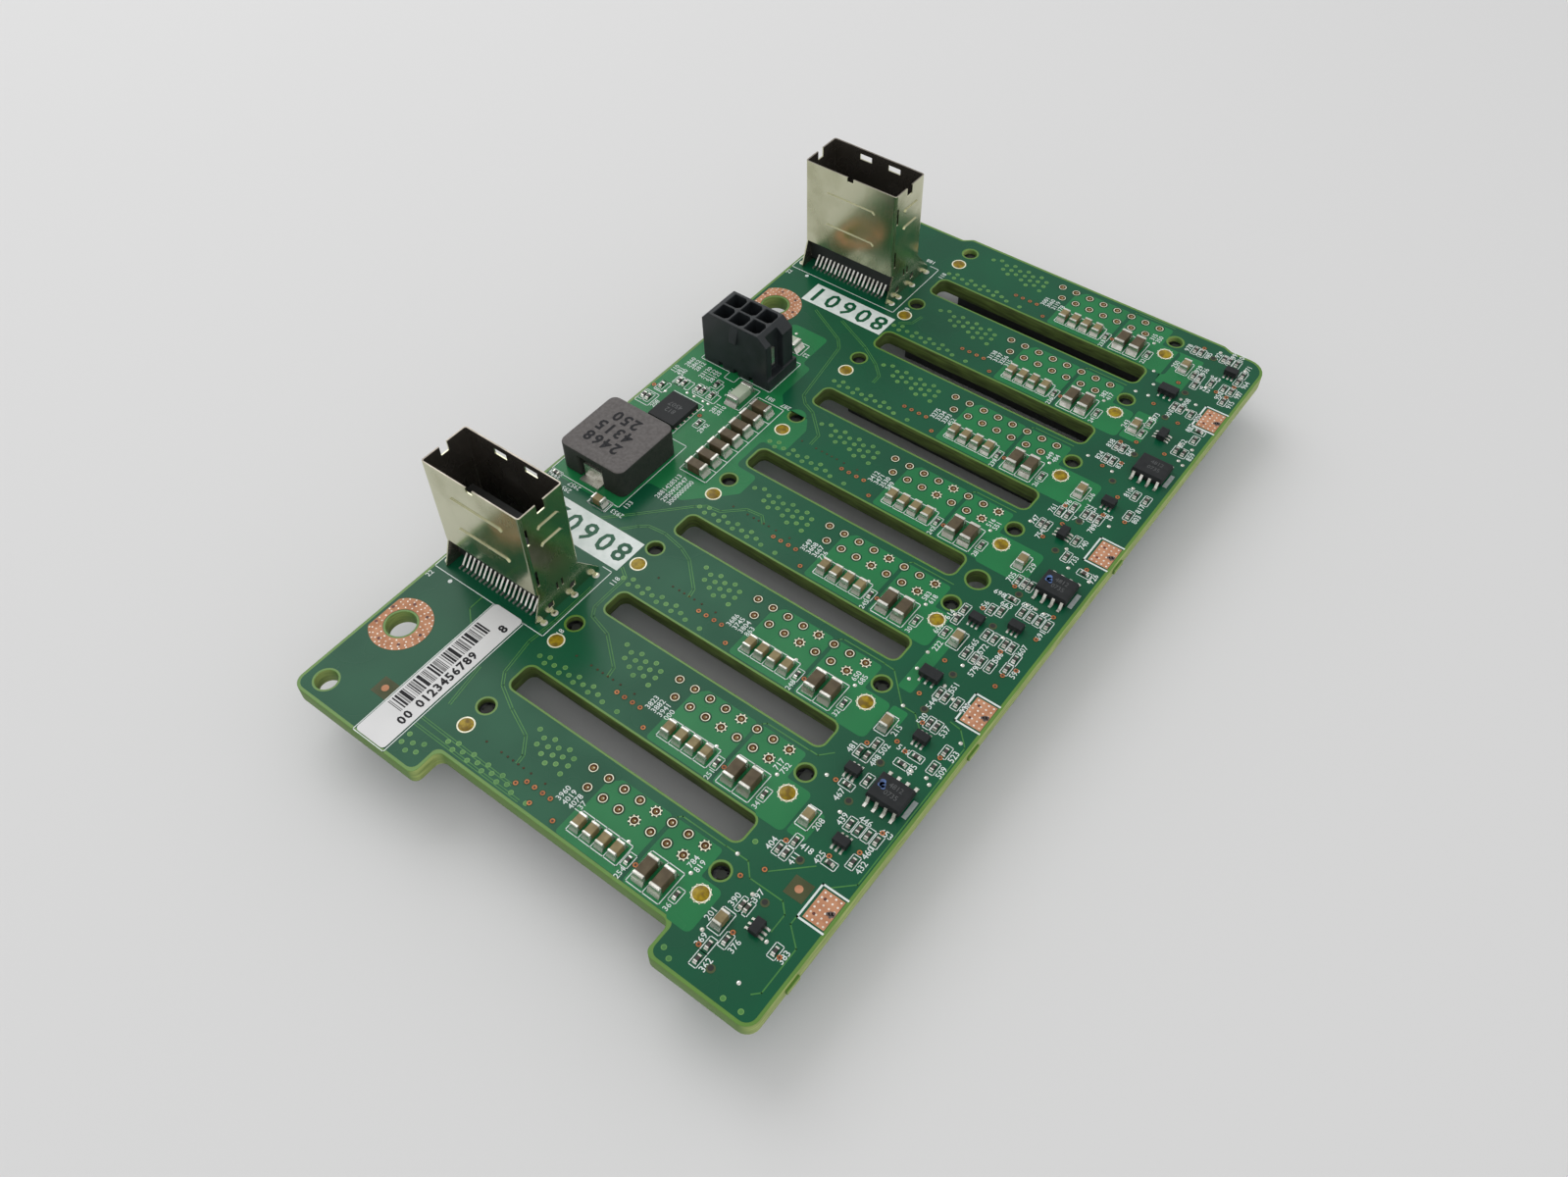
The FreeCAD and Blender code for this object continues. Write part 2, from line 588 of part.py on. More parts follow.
def port_cage(y):
    """Folded sheet-metal cage, open at the top, with embossed ribs and a slotted seam."""
    half = CAGE_L / 2.0
    near = y - CAGE_D / 2.0
    far = y + CAGE_D / 2.0
    wall_h = CAGE_H - CAGE_SKIRT
    cage = rounded_block(PORT_X, y, TOP + CAGE_SKIRT, CAGE_L, CAGE_D, wall_h, BEND_R)
    parts = [rib(V(PORT_X, near, TOP + z), V(LONG_RIB_L / 2.0, 0, 0), V(0, -1, 0), LONG_RIB_W)
             for z in LONG_RIBS_Z]
    cutters = [rounded_block(PORT_X, y, TOP + CAGE_SKIRT, CAGE_L - SHEET * 2.0,
                             CAGE_D - SHEET * 2.0, wall_h, BEND_R - SHEET)]
    cutters.append(block(PORT_X, near, TOP + CAGE_H - LONG_NOTCH_D, LONG_NOTCH_W, SHEET * 4.0,
                         LONG_NOTCH_D * 2.0))
    for outward in (-1, 1):
        end = PORT_X + outward * half
        parts.append(cage_end_wall(end, y, outward))
        cutters.extend(end_wall_cuts(end, y))
        cutters.append(block(PORT_X + WINDOW_X + outward * WINDOW_SPACING / 2.0, far,
                             TOP + CAGE_H - WINDOW_DROP - WINDOW_H, WINDOW_W, SHEET * 4.0,
                             WINDOW_H))
    cutters.extend(seam_cuts(PORT_X + half, near))
    return cage.fuse(parts).cut(cutters).removeSplitter()


def port_housing(y):
    """Moulded insert: a base between the contact rows and a tongue block with its card slot."""
    foot = TOP + PORT_STANDOFF
    inside = CAGE_L - SHEET * 2.0
    body = block(PORT_X, y, foot, inside, PORT_BASE_D, PORT_BASE_H - PORT_STANDOFF)
    tongue = block(PORT_X, y, foot, TONGUE_L, TONGUE_D, TONGUE_H - PORT_STANDOFF)
    slot = block(PORT_X, y, TOP + TONGUE_H - CARD_SLOT_D, CARD_SLOT_L, CARD_SLOT_W, CARD_SLOT_D)
    pad_d = PORT_BASE_D - PORT_PIN_UNDER * 2.0
    pads = [block(x, y, TOP, PORT_PAD_L, pad_d, PORT_STANDOFF)
            for x in both_ends(PORT_X, inside - PORT_PAD_L)]
    return body.fuse([tongue] + pads).cut(slot).removeSplitter()


def near_contact(x, y):
    """Sloping tail and soldered foot of one contact in the row that shows under the cage."""
    face = y - PORT_BASE_D / 2.0
    knee = face - PORT_PIN_RUN
    toe = knee - PORT_PIN_FOOT
    left = x - PORT_PIN_W / 2.0
    outline = [V(left, face, TOP + PORT_PIN_RISE), V(left, face, TOP + PORT_PIN_RISE + PORT_PIN_T),
               V(left, knee, TOP + PORT_PIN_T), V(left, toe, TOP + PORT_PIN_T),
               V(left, toe, TOP), V(left, knee, TOP)]
    return prism(outline, V(PORT_PIN_W, 0, 0))


def far_contact(x, y):
    """Straight strip of one contact in the row behind."""
    face = y + PORT_BASE_D / 2.0
    length = PORT_PIN_RUN + PORT_PIN_FOOT + PORT_PIN_UNDER
    return block(x, face - PORT_PIN_UNDER + length / 2.0, TOP, PORT_PIN_W, length, PORT_PIN_T)


def port_contacts(y):
    """Both rows of contacts of one port."""
    first = PORT_X - PORT_PIN_PITCH * (PORT_PINS - 1) / 2.0
    xs = [first + PORT_PIN_PITCH * i for i in range(PORT_PINS)]
    return [near_contact(x, y) for x in xs] + [far_contact(x, y) for x in xs]


# ---- power header ------------------------------------------------------------------------------------
def cavity_places():
    """Centres of the header's cavities."""
    for row in range(HEADER_ROWS):
        for column in range(HEADER_COLUMNS):
            yield (HEADER_X + HEADER_PITCH * (column - (HEADER_COLUMNS - 1) / 2.0),
                   HEADER_Y + HEADER_PITCH * (row - (HEADER_ROWS - 1) / 2.0))


def cavity(x, y):
    """Cutter for one cavity, its two right corners cut across."""
    half = CAVITY / 2.0
    short = half - CAVITY_CORNER
    z = TOP + CAVITY_FLOOR
    corners = [V(x - half, y - half, z), V(x + short, y - half, z), V(x + half, y - short, z),
               V(x + half, y + short, z), V(x + short, y + half, z), V(x - half, y + half, z)]
    return prism(corners, V(0, 0, HEADER_H))


def power_header():
    """Header body: sloped ends, latch ramp and recess, cavities and footed plinth."""
    half = HEADER_L / 2.0
    near = HEADER_Y - HEADER_D / 2.0
    left, right = HEADER_X - half, HEADER_X + half
    shoulder = TOP + HEADER_H - HEADER_SLOPE_H
    outline = [V(left, near, TOP), V(right, near, TOP), V(right, near, shoulder),
               V(right - HEADER_SLOPE_RIGHT, near, TOP + HEADER_H),
               V(left + HEADER_SLOPE_LEFT, near, TOP + HEADER_H), V(left, near, shoulder)]
    body = prism(outline, V(0, HEADER_D, 0))
    ramp_x = HEADER_X - RAMP_W / 2.0
    ramp_z = TOP + HEADER_H - RAMP_DROP
    ramp = prism([V(ramp_x, near, ramp_z), V(ramp_x, near - RAMP_OUT, ramp_z - RAMP_H),
                  V(ramp_x, near, ramp_z - RAMP_H)], V(RAMP_W, 0, 0))
    plinth = span(left, right + PLINTH_OUT / 2.0, near, near + HEADER_D + PLINTH_OUT,
                  TOP, TOP + PLINTH_H)
    body = body.fuse([ramp, plinth])
    cutters = [cavity(x, y) for x, y in cavity_places()]
    cutters.append(block(right, HEADER_Y + LATCH_Y, TOP + LATCH_FLOOR, LATCH_D * 2.0, LATCH_W,
                         HEADER_H))
    for x, _ in list(cavity_places())[:HEADER_COLUMNS]:
        cutters.append(block(x, near, TOP, HEADER_FOOT_W, HEADER_FOOT_D * 2.0, HEADER_FOOT_H))
    return body.cut(cutters).removeSplitter()


def header_pins():
    """One square post in each cavity."""
    return [block(x, y, TOP + CAVITY_FLOOR, HEADER_PIN, HEADER_PIN, HEADER_PIN_H - CAVITY_FLOOR)
            for x, y in cavity_places()]


def header_clip():
    """Metal strip against the back of the latch recess."""
    back = HEADER_X + HEADER_L / 2.0 - LATCH_D
    return block(back + CLIP_T / 2.0, HEADER_Y + LATCH_Y, TOP + LATCH_FLOOR + CLIP_RISE,
                 CLIP_T, CLIP_W, CLIP_H)


# ---- inductor -------------------------------------------------------------------------------------------
def inductor_core():
    """Pressed powder block with a notch for each terminal."""
    core = rounded_block(INDUCTOR_X, INDUCTOR_Y, TOP, INDUCTOR_L, INDUCTOR_D, INDUCTOR_H,
                         INDUCTOR_R)
    notches = [block(INDUCTOR_X, y, TOP, NOTCH_W, NOTCH_D * 2.0, NOTCH_H)
               for y in both_ends(INDUCTOR_Y, INDUCTOR_D)]
    return core.cut(notches)


def inductor_terminal(side):
    """Tinned strip that comes down in the notch and turns out along the board."""
    back = INDUCTOR_Y + side * (INDUCTOR_D / 2.0 - NOTCH_D)
    face = back + side * TERMINAL_T
    toe = back + side * (NOTCH_D + TERMINAL_FOOT)
    left = INDUCTOR_X - TERMINAL_W / 2.0
    outline = [V(left, back, TOP), V(left, toe, TOP), V(left, toe, TOP + TERMINAL_T),
               V(left, face, TOP + TERMINAL_T), V(left, face, TOP + TERMINAL_H),
               V(left, back, TOP + TERMINAL_H)]
    return prism(outline, V(TERMINAL_W, 0, 0))


# ---- chips ----------------------------------------------------------------------------------------------
def switch_body(y):
    """Eight-lead moulded body with sloping sides."""
    middle = TOP + SWITCH_LIFT + SWITCH_LEAD_TOP
    slope = SWITCH_LIFT
    a, b = SWITCH_L / 2.0, SWITCH_D / 2.0
    top = TOP + SWITCH_LIFT + SWITCH_H

    def ring(z, inset):
        points = [V(SWITCH_X - a + inset, y - b + inset, z), V(SWITCH_X + a - inset, y - b + inset, z),
                  V(SWITCH_X + a - inset, y + b - inset, z), V(SWITCH_X - a + inset, y + b - inset, z)]
        return Part.makePolygon(points + points[:1])

    lower = Part.makeLoft([ring(TOP + SWITCH_LIFT, slope), ring(middle, 0)], True, True)
    upper = Part.makeLoft([ring(middle, 0), ring(top, slope)], True, True)
    return lower.fuse(upper).removeSplitter()


def switch_lead(x, y, side):
    """Gull-wing lead on the near (-1) or far (1) side of a switch."""
    face = y + side * SWITCH_D / 2.0
    knee = face + side * (SWITCH_LEAD_OUT - SWITCH_LEAD_FOOT)
    toe = face + side * SWITCH_LEAD_OUT
    high = TOP + SWITCH_LIFT + SWITCH_LEAD_TOP
    left = x - SWITCH_LEAD_W / 2.0
    outline = [V(left, face, high - SWITCH_LEAD_T / 2.0), V(left, face, high + SWITCH_LEAD_T / 2.0),
               V(left, knee, TOP + SWITCH_LEAD_T), V(left, toe, TOP + SWITCH_LEAD_T),
               V(left, toe, TOP), V(left, knee - side * SWITCH_LEAD_T, TOP)]
    return prism(outline, V(SWITCH_LEAD_W, 0, 0))


def switch_leads(y):
    """All leads of one switch."""
    first = SWITCH_X - SWITCH_LEAD_PITCH * (SWITCH_LEADS - 1) / 2.0
    return [switch_lead(first + SWITCH_LEAD_PITCH * i, y, side)
            for side in (-1, 1) for i in range(SWITCH_LEADS)]


def turned(shape, x, y, quarter):
    """The shape, turned a quarter about its own upright axis if asked."""
    if quarter:
        shape.rotate(V(x, y, 0), V(0, 0, 1), 90)
    return shape


def outline_part(x, y, length, depth, pitch, quarter):
    """Body of a small outline part and the three strips that are its leads."""
    body = block(x, y, TOP + OUTLINE_LEAD_T, length, depth, OUTLINE_H)
    leads = [block(x + pitch * i, y, TOP, OUTLINE_LEAD_W, depth + OUTLINE_LEAD_OUT * 2.0,
                   OUTLINE_LEAD_T) for i in (-1, 0, 1)]
    return turned(body, x, y, quarter), [turned(lead, x, y, quarter) for lead in leads]


def outline_parts():
    """Bodies and leads of all the six-lead parts."""
    bodies, leads = [], []
    for bay, back, out, quarter in SMALL_PARTS:
        body, feet = outline_part(SLOT_RIGHT + out, back_of(bay, back),
                                  SMALL_L, SMALL_D, SMALL_PITCH, quarter)
        bodies.append(body)
        leads.extend(feet)
    for bay, back, out in WIDE_PARTS:
        body, feet = outline_part(SLOT_RIGHT + out, back_of(bay, back),
                                  WIDE_L, WIDE_D, WIDE_PITCH, False)
        bodies.append(body)
        leads.extend(feet)
    return bodies, leads


# ---- capacitors, fuses and small chips -----------------------------------------------------------
def two_ended(x, y, size, end, quarter=False):
    """Body between two metal ends, its long side along Y unless turned."""
    width, length, height = size
    body = block(x, y, TOP, width, length - end * 2.0, height)
    caps = [block(x, y + side * (length - end) / 2.0, TOP, width, end, height)
            for side in (-1, 1)]
    return turned(body, x, y, quarter), [turned(cap, x, y, quarter) for cap in caps]


def gathered(places, size, end):
    """Bodies and ends of a list of places (x, y, quarter)."""
    bodies, ends = [], []
    for x, y, quarter in places:
        body, caps = two_ended(x, y, size, end, quarter)
        bodies.append(body)
        ends.extend(caps)
    return bodies, ends


def small_capacitors():
    """Four in each bay, one beside each bay and one by the inductor, each one block."""
    width, length, height = SMALL_CAP
    places = [(FIRST_PIN_X + SMALL_CAP_OUT + SMALL_CAP_PITCH * i, y - SMALL_CAP_BACK)
              for y in BAY_YS for i in range(SMALL_CAPS)]
    places += [(SLOT_RIGHT + SIDE_CAP_OUT, y - SIDE_CAP_BACK) for y in BAY_YS]
    parts = [block(x, y, TOP, width, length, height) for x, y in places]
    parts.append(block(LEFT + NEAR_CAP_IN, back_of(POWER_BAY, NEAR_CAP_BACK), TOP,
                       length, width, height))
    return parts


def large_cap_places():
    """Two in each bay and the bank beside the regulator."""
    places = [(FIRST_PIN_X + LARGE_CAP_OUT + LARGE_CAP_PITCH * i, y - LARGE_CAP_BACK, False)
              for y in BAY_YS for i in range(LARGE_CAPS)]
    places += [(LEFT + BANK_IN, back_of(BANK_BAY, BANK_BACK + BANK_PITCH * i), True)
               for i in range(BANK_CAPS)]
    return places


def chip_places(strip_rows, power_rows):
    """Places of the rows on the right strip and of those around the regulator."""
    places = [(SLOT_RIGHT + out, back_of(bay, back)) for bay, back, outs in strip_rows
              for out in outs]
    places += [(LEFT + inward, back_of(POWER_BAY, back)) for back, inwards in power_rows
               for inward in inwards]
    return places


def chip_parts():
    """The smallest two-ended parts, each one plain block."""
    width, length, height = CHIP
    outs = (SMALL_CAP_OUT + SMALL_CAP_PITCH * (SMALL_CAPS - 1) + CHIP_PAST_SMALL,
            LARGE_CAP_OUT + LARGE_CAP_PITCH * (LARGE_CAPS - 1) + CHIP_PAST_LARGE)
    upright = [(FIRST_PIN_X + out, y - BAY_CHIP_BACK) for y in BAY_YS for out in outs]
    upright += [(SLOT_RIGHT + SHUNT_OUT + SHUNT_PITCH * i, back_of(bay, back + SHUNT_BACK))
                for bay, back in SWITCHES if bay in SHUNT_BAYS for i in range(SHUNTS)]
    upright += chip_places(UPRIGHT_ROWS, POWER_UPRIGHT_ROWS)
    flat = chip_places(FLAT_ROWS, POWER_FLAT_ROWS)
    parts = [block(x, y, TOP, width, length, height) for x, y in upright]
    parts += [block(x, y, TOP, length, width, height) for x, y in flat]
    return parts


# ---- output ---------------------------------------------------------------------------------------------
def save(name, shapes):
    """Write one node as a STEP file."""
    shape = shapes[0] if len(shapes) == 1 else Part.Compound(shapes)
    if not shape.isValid():
        raise ValueError("not a valid shape: " + name)
    shape.exportStep(os.path.join("parts", name + ".step"))


def main():
    os.makedirs("parts", exist_ok=True)
    save("circuit_board", [circuit_board()])
    for number, y in enumerate(BAY_YS, 1):
        save("drive_connector_%d" % number, [drive_housing(y)])
        save("drive_contacts_%d" % number, drive_contacts(y))
    save("drive_hold_downs", [hold_down(x, y) for y in BAY_YS
                              for x in both_ends(DRIVE_X, PEG_SPAN)])
    for number, y in enumerate(PORT_YS, 1):
        save("port_cage_%d" % number, [port_cage(y)])
        save("port_housing_%d" % number, [port_housing(y)])
        save("port_contacts_%d" % number, port_contacts(y))
    save("power_header", [power_header()])
    save("power_header_pins", header_pins())
    save("power_header_clip", [header_clip()])
    save("inductor_core", [inductor_core()])
    save("inductor_terminals", [inductor_terminal(-1), inductor_terminal(1)])
    length, depth, height = REGULATOR
    save("regulator_chip", [block(INDUCTOR_X, back_of(POWER_BAY, -REGULATOR_AHEAD), TOP,
                                  length, depth, height)])
    switch_ys = [back_of(bay, back) for bay, back in SWITCHES]
    save("switch_bodies", [switch_body(y) for y in switch_ys])
    save("switch_leads", [lead for y in switch_ys for lead in switch_leads(y)])
    bodies, leads = outline_parts()
    save("transistor_bodies", bodies)
    save("transistor_leads", leads)
    save("small_capacitors", small_capacitors())
    bodies, ends = gathered(large_cap_places(), LARGE_CAP, LARGE_CAP_END)
    save("large_capacitors", bodies)
    save("large_capacitor_ends", ends)
    fuses = [(LEFT + FUSE_IN, back_of(FUSE_BAY, FUSE_BACK), False),
             (LEFT + SIDE_FUSE_IN, back_of(SIDE_FUSE_BAY, SIDE_FUSE_BACK), True)]
    bodies, ends = gathered(fuses, FUSE, FUSE_END)
    save("fuses", bodies)
    save("fuse_ends", ends)
    save("chip_resistors", chip_parts())
    width, length, thick = LABEL
    save("label", [block(LEFT + LABEL_IN, LABEL_Y, TOP, width, length, thick)])


main()
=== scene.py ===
"""Looks of the drive backplane board: its laminate, copper, print, solder, connectors and chips.

Lengths are in millimetres in the frame's axes until a mesh is made, which is in metres.
"""

import logging
import math
from dataclasses import dataclass, field
from enum import Enum
from itertools import count
from typing import Iterable, Iterator, Sequence

import bmesh
import bpy
from mathutils import Matrix, Vector


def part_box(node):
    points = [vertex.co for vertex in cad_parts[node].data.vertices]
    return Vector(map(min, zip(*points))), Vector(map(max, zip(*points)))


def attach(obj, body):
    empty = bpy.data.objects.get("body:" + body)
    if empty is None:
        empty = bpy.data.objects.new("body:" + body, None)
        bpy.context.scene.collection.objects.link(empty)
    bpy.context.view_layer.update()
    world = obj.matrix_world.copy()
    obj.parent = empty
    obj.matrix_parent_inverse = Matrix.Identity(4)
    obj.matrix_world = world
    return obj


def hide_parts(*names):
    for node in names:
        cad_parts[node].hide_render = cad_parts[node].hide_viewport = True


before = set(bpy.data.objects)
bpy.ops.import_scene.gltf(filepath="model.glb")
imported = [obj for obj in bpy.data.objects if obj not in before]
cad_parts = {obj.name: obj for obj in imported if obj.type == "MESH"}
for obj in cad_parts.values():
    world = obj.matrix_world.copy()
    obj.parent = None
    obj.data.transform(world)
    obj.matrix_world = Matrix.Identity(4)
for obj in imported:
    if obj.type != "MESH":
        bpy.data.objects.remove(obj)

LOG = logging.getLogger("backplane")
MM = 0.001
ROOT = "root"
Point = tuple[float, float]
Colour = tuple[float, float, float]
Edges = tuple[float, float, float, float]
WHITE = (1.0, 1.0, 1.0, 1.0)
UP = 2


# ---- shader expressions ----------------------------------------------------------------------
class Value:
    """Output socket of a shader node, with arithmetic that adds Math nodes."""

    def __init__(self, graph: "Graph", socket: bpy.types.NodeSocket) -> None:
        """Wraps the socket of a graph."""
        self.graph = graph
        self.socket = socket

    def __add__(self, other: "Value | float") -> "Value":
        """Sum of two values."""
        return self.graph.math("ADD", self, other)

    def __mul__(self, other: "Value | float") -> "Value":
        """Product of two values."""
        return self.graph.math("MULTIPLY", self, other)

    def __sub__(self, other: "Value | float") -> "Value":
        """This value less the other."""
        return self.graph.math("SUBTRACT", self, other)

    def __rsub__(self, other: float) -> "Value":
        """A number less this value."""
        return self.graph.math("SUBTRACT", other, self)

    def __gt__(self, other: float) -> "Value":
        """One where this value is over the other."""
        return self.graph.math("GREATER_THAN", self, other)


class Graph:
    """Node tree of a material or a world, whose nodes all come from one method."""

    def __init__(self, owner: bpy.types.Material | bpy.types.World) -> None:
        """Empties the owner's tree."""
        owner.use_nodes = True
        self.tree = owner.node_tree
        self.tree.nodes.clear()

    def node(self, kind: str, settings: dict[str, object],
             inputs: dict[object, object]) -> bpy.types.Node:
        """Adds a node.

        Args:
            kind: the node's type.
            settings: attributes set before the sockets.
            inputs: socket names or numbers with their values or links.

        Returns:
            The node.
        """
        node = self.tree.nodes.new(kind)
        for key, value in settings.items():
            setattr(node, key, value)
        for key, value in inputs.items():
            self.feed(node.inputs[key], value)
        return node

    def feed(self, socket: bpy.types.NodeSocket, value: object) -> None:
        """Links a value to a socket, or sets the socket."""
        if isinstance(value, Value):
            self.tree.links.new(value.socket, socket)
        else:
            socket.default_value = value

    def value(self, kind: str, inputs: dict[object, object], output: int | str = 0,
              **settings: object) -> Value:
        """Output of a new node.

        Args:
            kind: the node's type.
            inputs: socket names or numbers with their values or links.
            output: name or number of the output.
            settings: attributes set before the sockets.

        Returns:
            The output.
        """
        return Value(self, self.node(kind, settings, inputs).outputs[output])

    def math(self, operation: str, a: Value | float, b: Value | float) -> Value:
        """Math node on two values."""
        return self.value("ShaderNodeMath", {0: a, 1: b}, operation=operation)

    def place(self, kind: str = "Object") -> Value:
        """Coordinates, the object's own unless another kind is named."""
        return self.value("ShaderNodeTexCoord", {}, kind)

    def stretched(self, scale: Colour) -> Value:
        """Object coordinates with a scale of their own on each axis."""
        return self.value("ShaderNodeMapping", {"Vector": self.place(), "Scale": scale}, "Vector")

    def noise(self, scale: float, detail: float = 2.0, vector: Value | None = None) -> Value:
        """Noise between 0 and 1.

        Args:
            scale: how many cells there are in a metre.
            detail: how many finer layers are added.
            vector: coordinates other than the object's own.

        Returns:
            The noise.
        """
        inputs = {"Vector": vector or self.place(), "Scale": scale, "Detail": detail}
        return self.value("ShaderNodeTexNoise", inputs, "Fac")

    def mix(self, factor: Value | float, a: Value | Colour, b: Value | Colour) -> Value:
        """Colour between two colours."""
        a, b = (c if isinstance(c, Value) else (*c, 1.0) for c in (a, b))
        return self.value("ShaderNodeMix", {0: factor, 6: a, 7: b}, 2, data_type="RGBA")

    def spread(self, value: Value, low: float, high: float) -> Value:
        """Value stretched so that low gives 0 and high gives 1, held between them."""
        inputs = {"Value": value, "From Min": low, "From Max": high}
        return self.value("ShaderNodeMapRange", inputs, "Result")

    def part(self, vector: Value, axis: int) -> Value:
        """One part of a vector."""
        return self.value("ShaderNodeSeparateXYZ", {0: vector}, axis)

    def normal(self) -> Value:
        """Direction that the surface faces."""
        return self.value("ShaderNodeNewGeometry", {}, "Normal")


class Skin(Graph):
    """Node tree of a material, with a Principled shader at its end."""

    def __init__(self, name: str) -> None:
        """Makes the material and its shader."""
        self.material = bpy.data.materials.new(name)
        super().__init__(self.material)
        self.shader = self.node("ShaderNodeBsdfPrincipled", {}, {})
        light = Value(self, self.shader.outputs["BSDF"])
        self.node("ShaderNodeOutputMaterial", {}, {"Surface": light})

    def bump(self, height: Value, depth: float) -> None:
        """Raises the surface by a height pattern, depth in millimetres."""
        inputs = {"Height": height, "Distance": depth * MM, "Strength": 1.0}
        self.surface(Normal=self.value("ShaderNodeBump", inputs))

    def surface(self, **sockets: object) -> None:
        """Sets or links sockets of the shader, named with underscores for spaces."""
        for key, value in sockets.items():
            self.feed(self.shader.inputs[key.replace("_", " ")], value)


# ---- finishes --------------------------------------------------------------------------------
@dataclass(frozen=True)
class Finish:
    """A finish that drifts between two colours and two roughnesses."""

    name: str
    colour: Colour
    drift: Colour
    rough: float
    rough_drift: float = 0.1
    metal: float = 0.0
    cells: float = 300.0
    relief: float = 0.0
    relief_cells: float = 2500.0
    coat: float = 0.0
    gloss: float = 0.5
    coat_rough: float = 0.08

    @property
    def title(self) -> str:
        """The material's name, which no material of the frame has."""
        return f"look_{self.name}"

    def material(self) -> bpy.types.Material:
        """The material, made once."""
        found = bpy.data.materials.get(self.title)
        return found or self.build()

    def build(self) -> bpy.types.Material:
        """Makes the material."""
        graph = Skin(self.title)
        patch = graph.spread(graph.noise(self.cells), 0.35, 0.65)
        graph.surface(
            Base_Color=graph.mix(patch, self.colour, self.drift),
            Roughness=patch * self.rough_drift + self.rough,
            Metallic=self.metal,
            Specular_IOR_Level=self.gloss,
        )
        if self.coat:
            graph.surface(Coat_Weight=self.coat, Coat_Roughness=self.coat_rough)
        if self.relief:
            graph.bump(graph.noise(self.relief_cells), self.relief)
        return graph.material


@dataclass(frozen=True)
class LaminateFinish(Finish):
    """Bare laminate: mask on its two faces, milled glass fibre on its edges, with painted light and shade
    on the edges.
    """

    # The edge colour is the glass fibre where painted light falls on edges that face +X; edge_shade is
    # painted shade for edges that face away.
    edge: Colour = (0.37, 0.45, 0.14)
    edge_dark: Colour = (0.13, 0.2, 0.04)
    edge_shade: Colour = (0.09, 0.19, 0.035)
    # Painted shade for the walls of the slots and holes in the board's middle.
    slot_wall: Colour = (0.04, 0.06, 0.01)
    slot_middle: float = 0.0039
    slot_reach: float = 0.021
    bay_reach: float = 0.0585
    layer_cells: Colour = (260.0, 260.0, 2400.0)
    layer_relief: float = 0.03

    def build(self) -> bpy.types.Material:
        """Makes the material."""
        graph = Skin(self.title)
        up = graph.part(graph.normal(), UP)
        face = graph.spread(up * up, 0.3, 0.7)
        layers = graph.noise(1.0, 3.0, graph.stretched(self.layer_cells))
        # Painted light and shade: edges lighten as they face +X and darken towards painted shade as they
        # face away.
        lit = graph.spread(graph.part(graph.normal(), 0), 0.1, 0.95)
        bright = graph.mix(lit, self.edge_shade, self.edge)
        # Painted shade: walls of the slots and holes within reach of the board's middle take the dark slot
        # wall colour instead of the edge colour.
        from_slots = graph.part(graph.place(), 0) - self.slot_middle
        along = graph.part(graph.place(), 1)
        beyond = from_slots * from_slots > self.slot_reach ** 2
        past = along * along > self.bay_reach ** 2
        side_light_and_shade = graph.mix((1.0 - beyond) * (1.0 - past), bright, self.slot_wall)
        side = graph.mix(graph.spread(layers, 0.35, 0.7) * 0.7, side_light_and_shade, self.edge_dark)
        top = graph.mix(graph.noise(self.cells), self.colour, self.drift)
        graph.surface(Base_Color=graph.mix(face, side, top), Roughness=0.62 - face * 0.3)
        graph.bump(layers, self.layer_relief)
        return graph.material


@dataclass(frozen=True)
class SheetFinish(Finish):
    """Plated sheet metal with fine drawn lines and dull patches."""

    line_cells: Colour = (2600.0, 2600.0, 90.0)
    dull_cells: float = 160.0

    def build(self) -> bpy.types.Material:
        """Makes the material."""
        graph = Skin(self.title)
        lines = graph.noise(1.0, 4.0, graph.stretched(self.line_cells))
        dull = graph.spread(graph.noise(self.dull_cells, 4.0), 0.42, 0.68)
        stain = graph.mix(dull, self.colour, self.drift)
        graph.surface(
            Base_Color=stain,
            Roughness=dull * self.rough_drift + lines * 0.06 + self.rough,
            Metallic=self.metal,
        )
        graph.bump(lines, self.relief)
        return graph.material


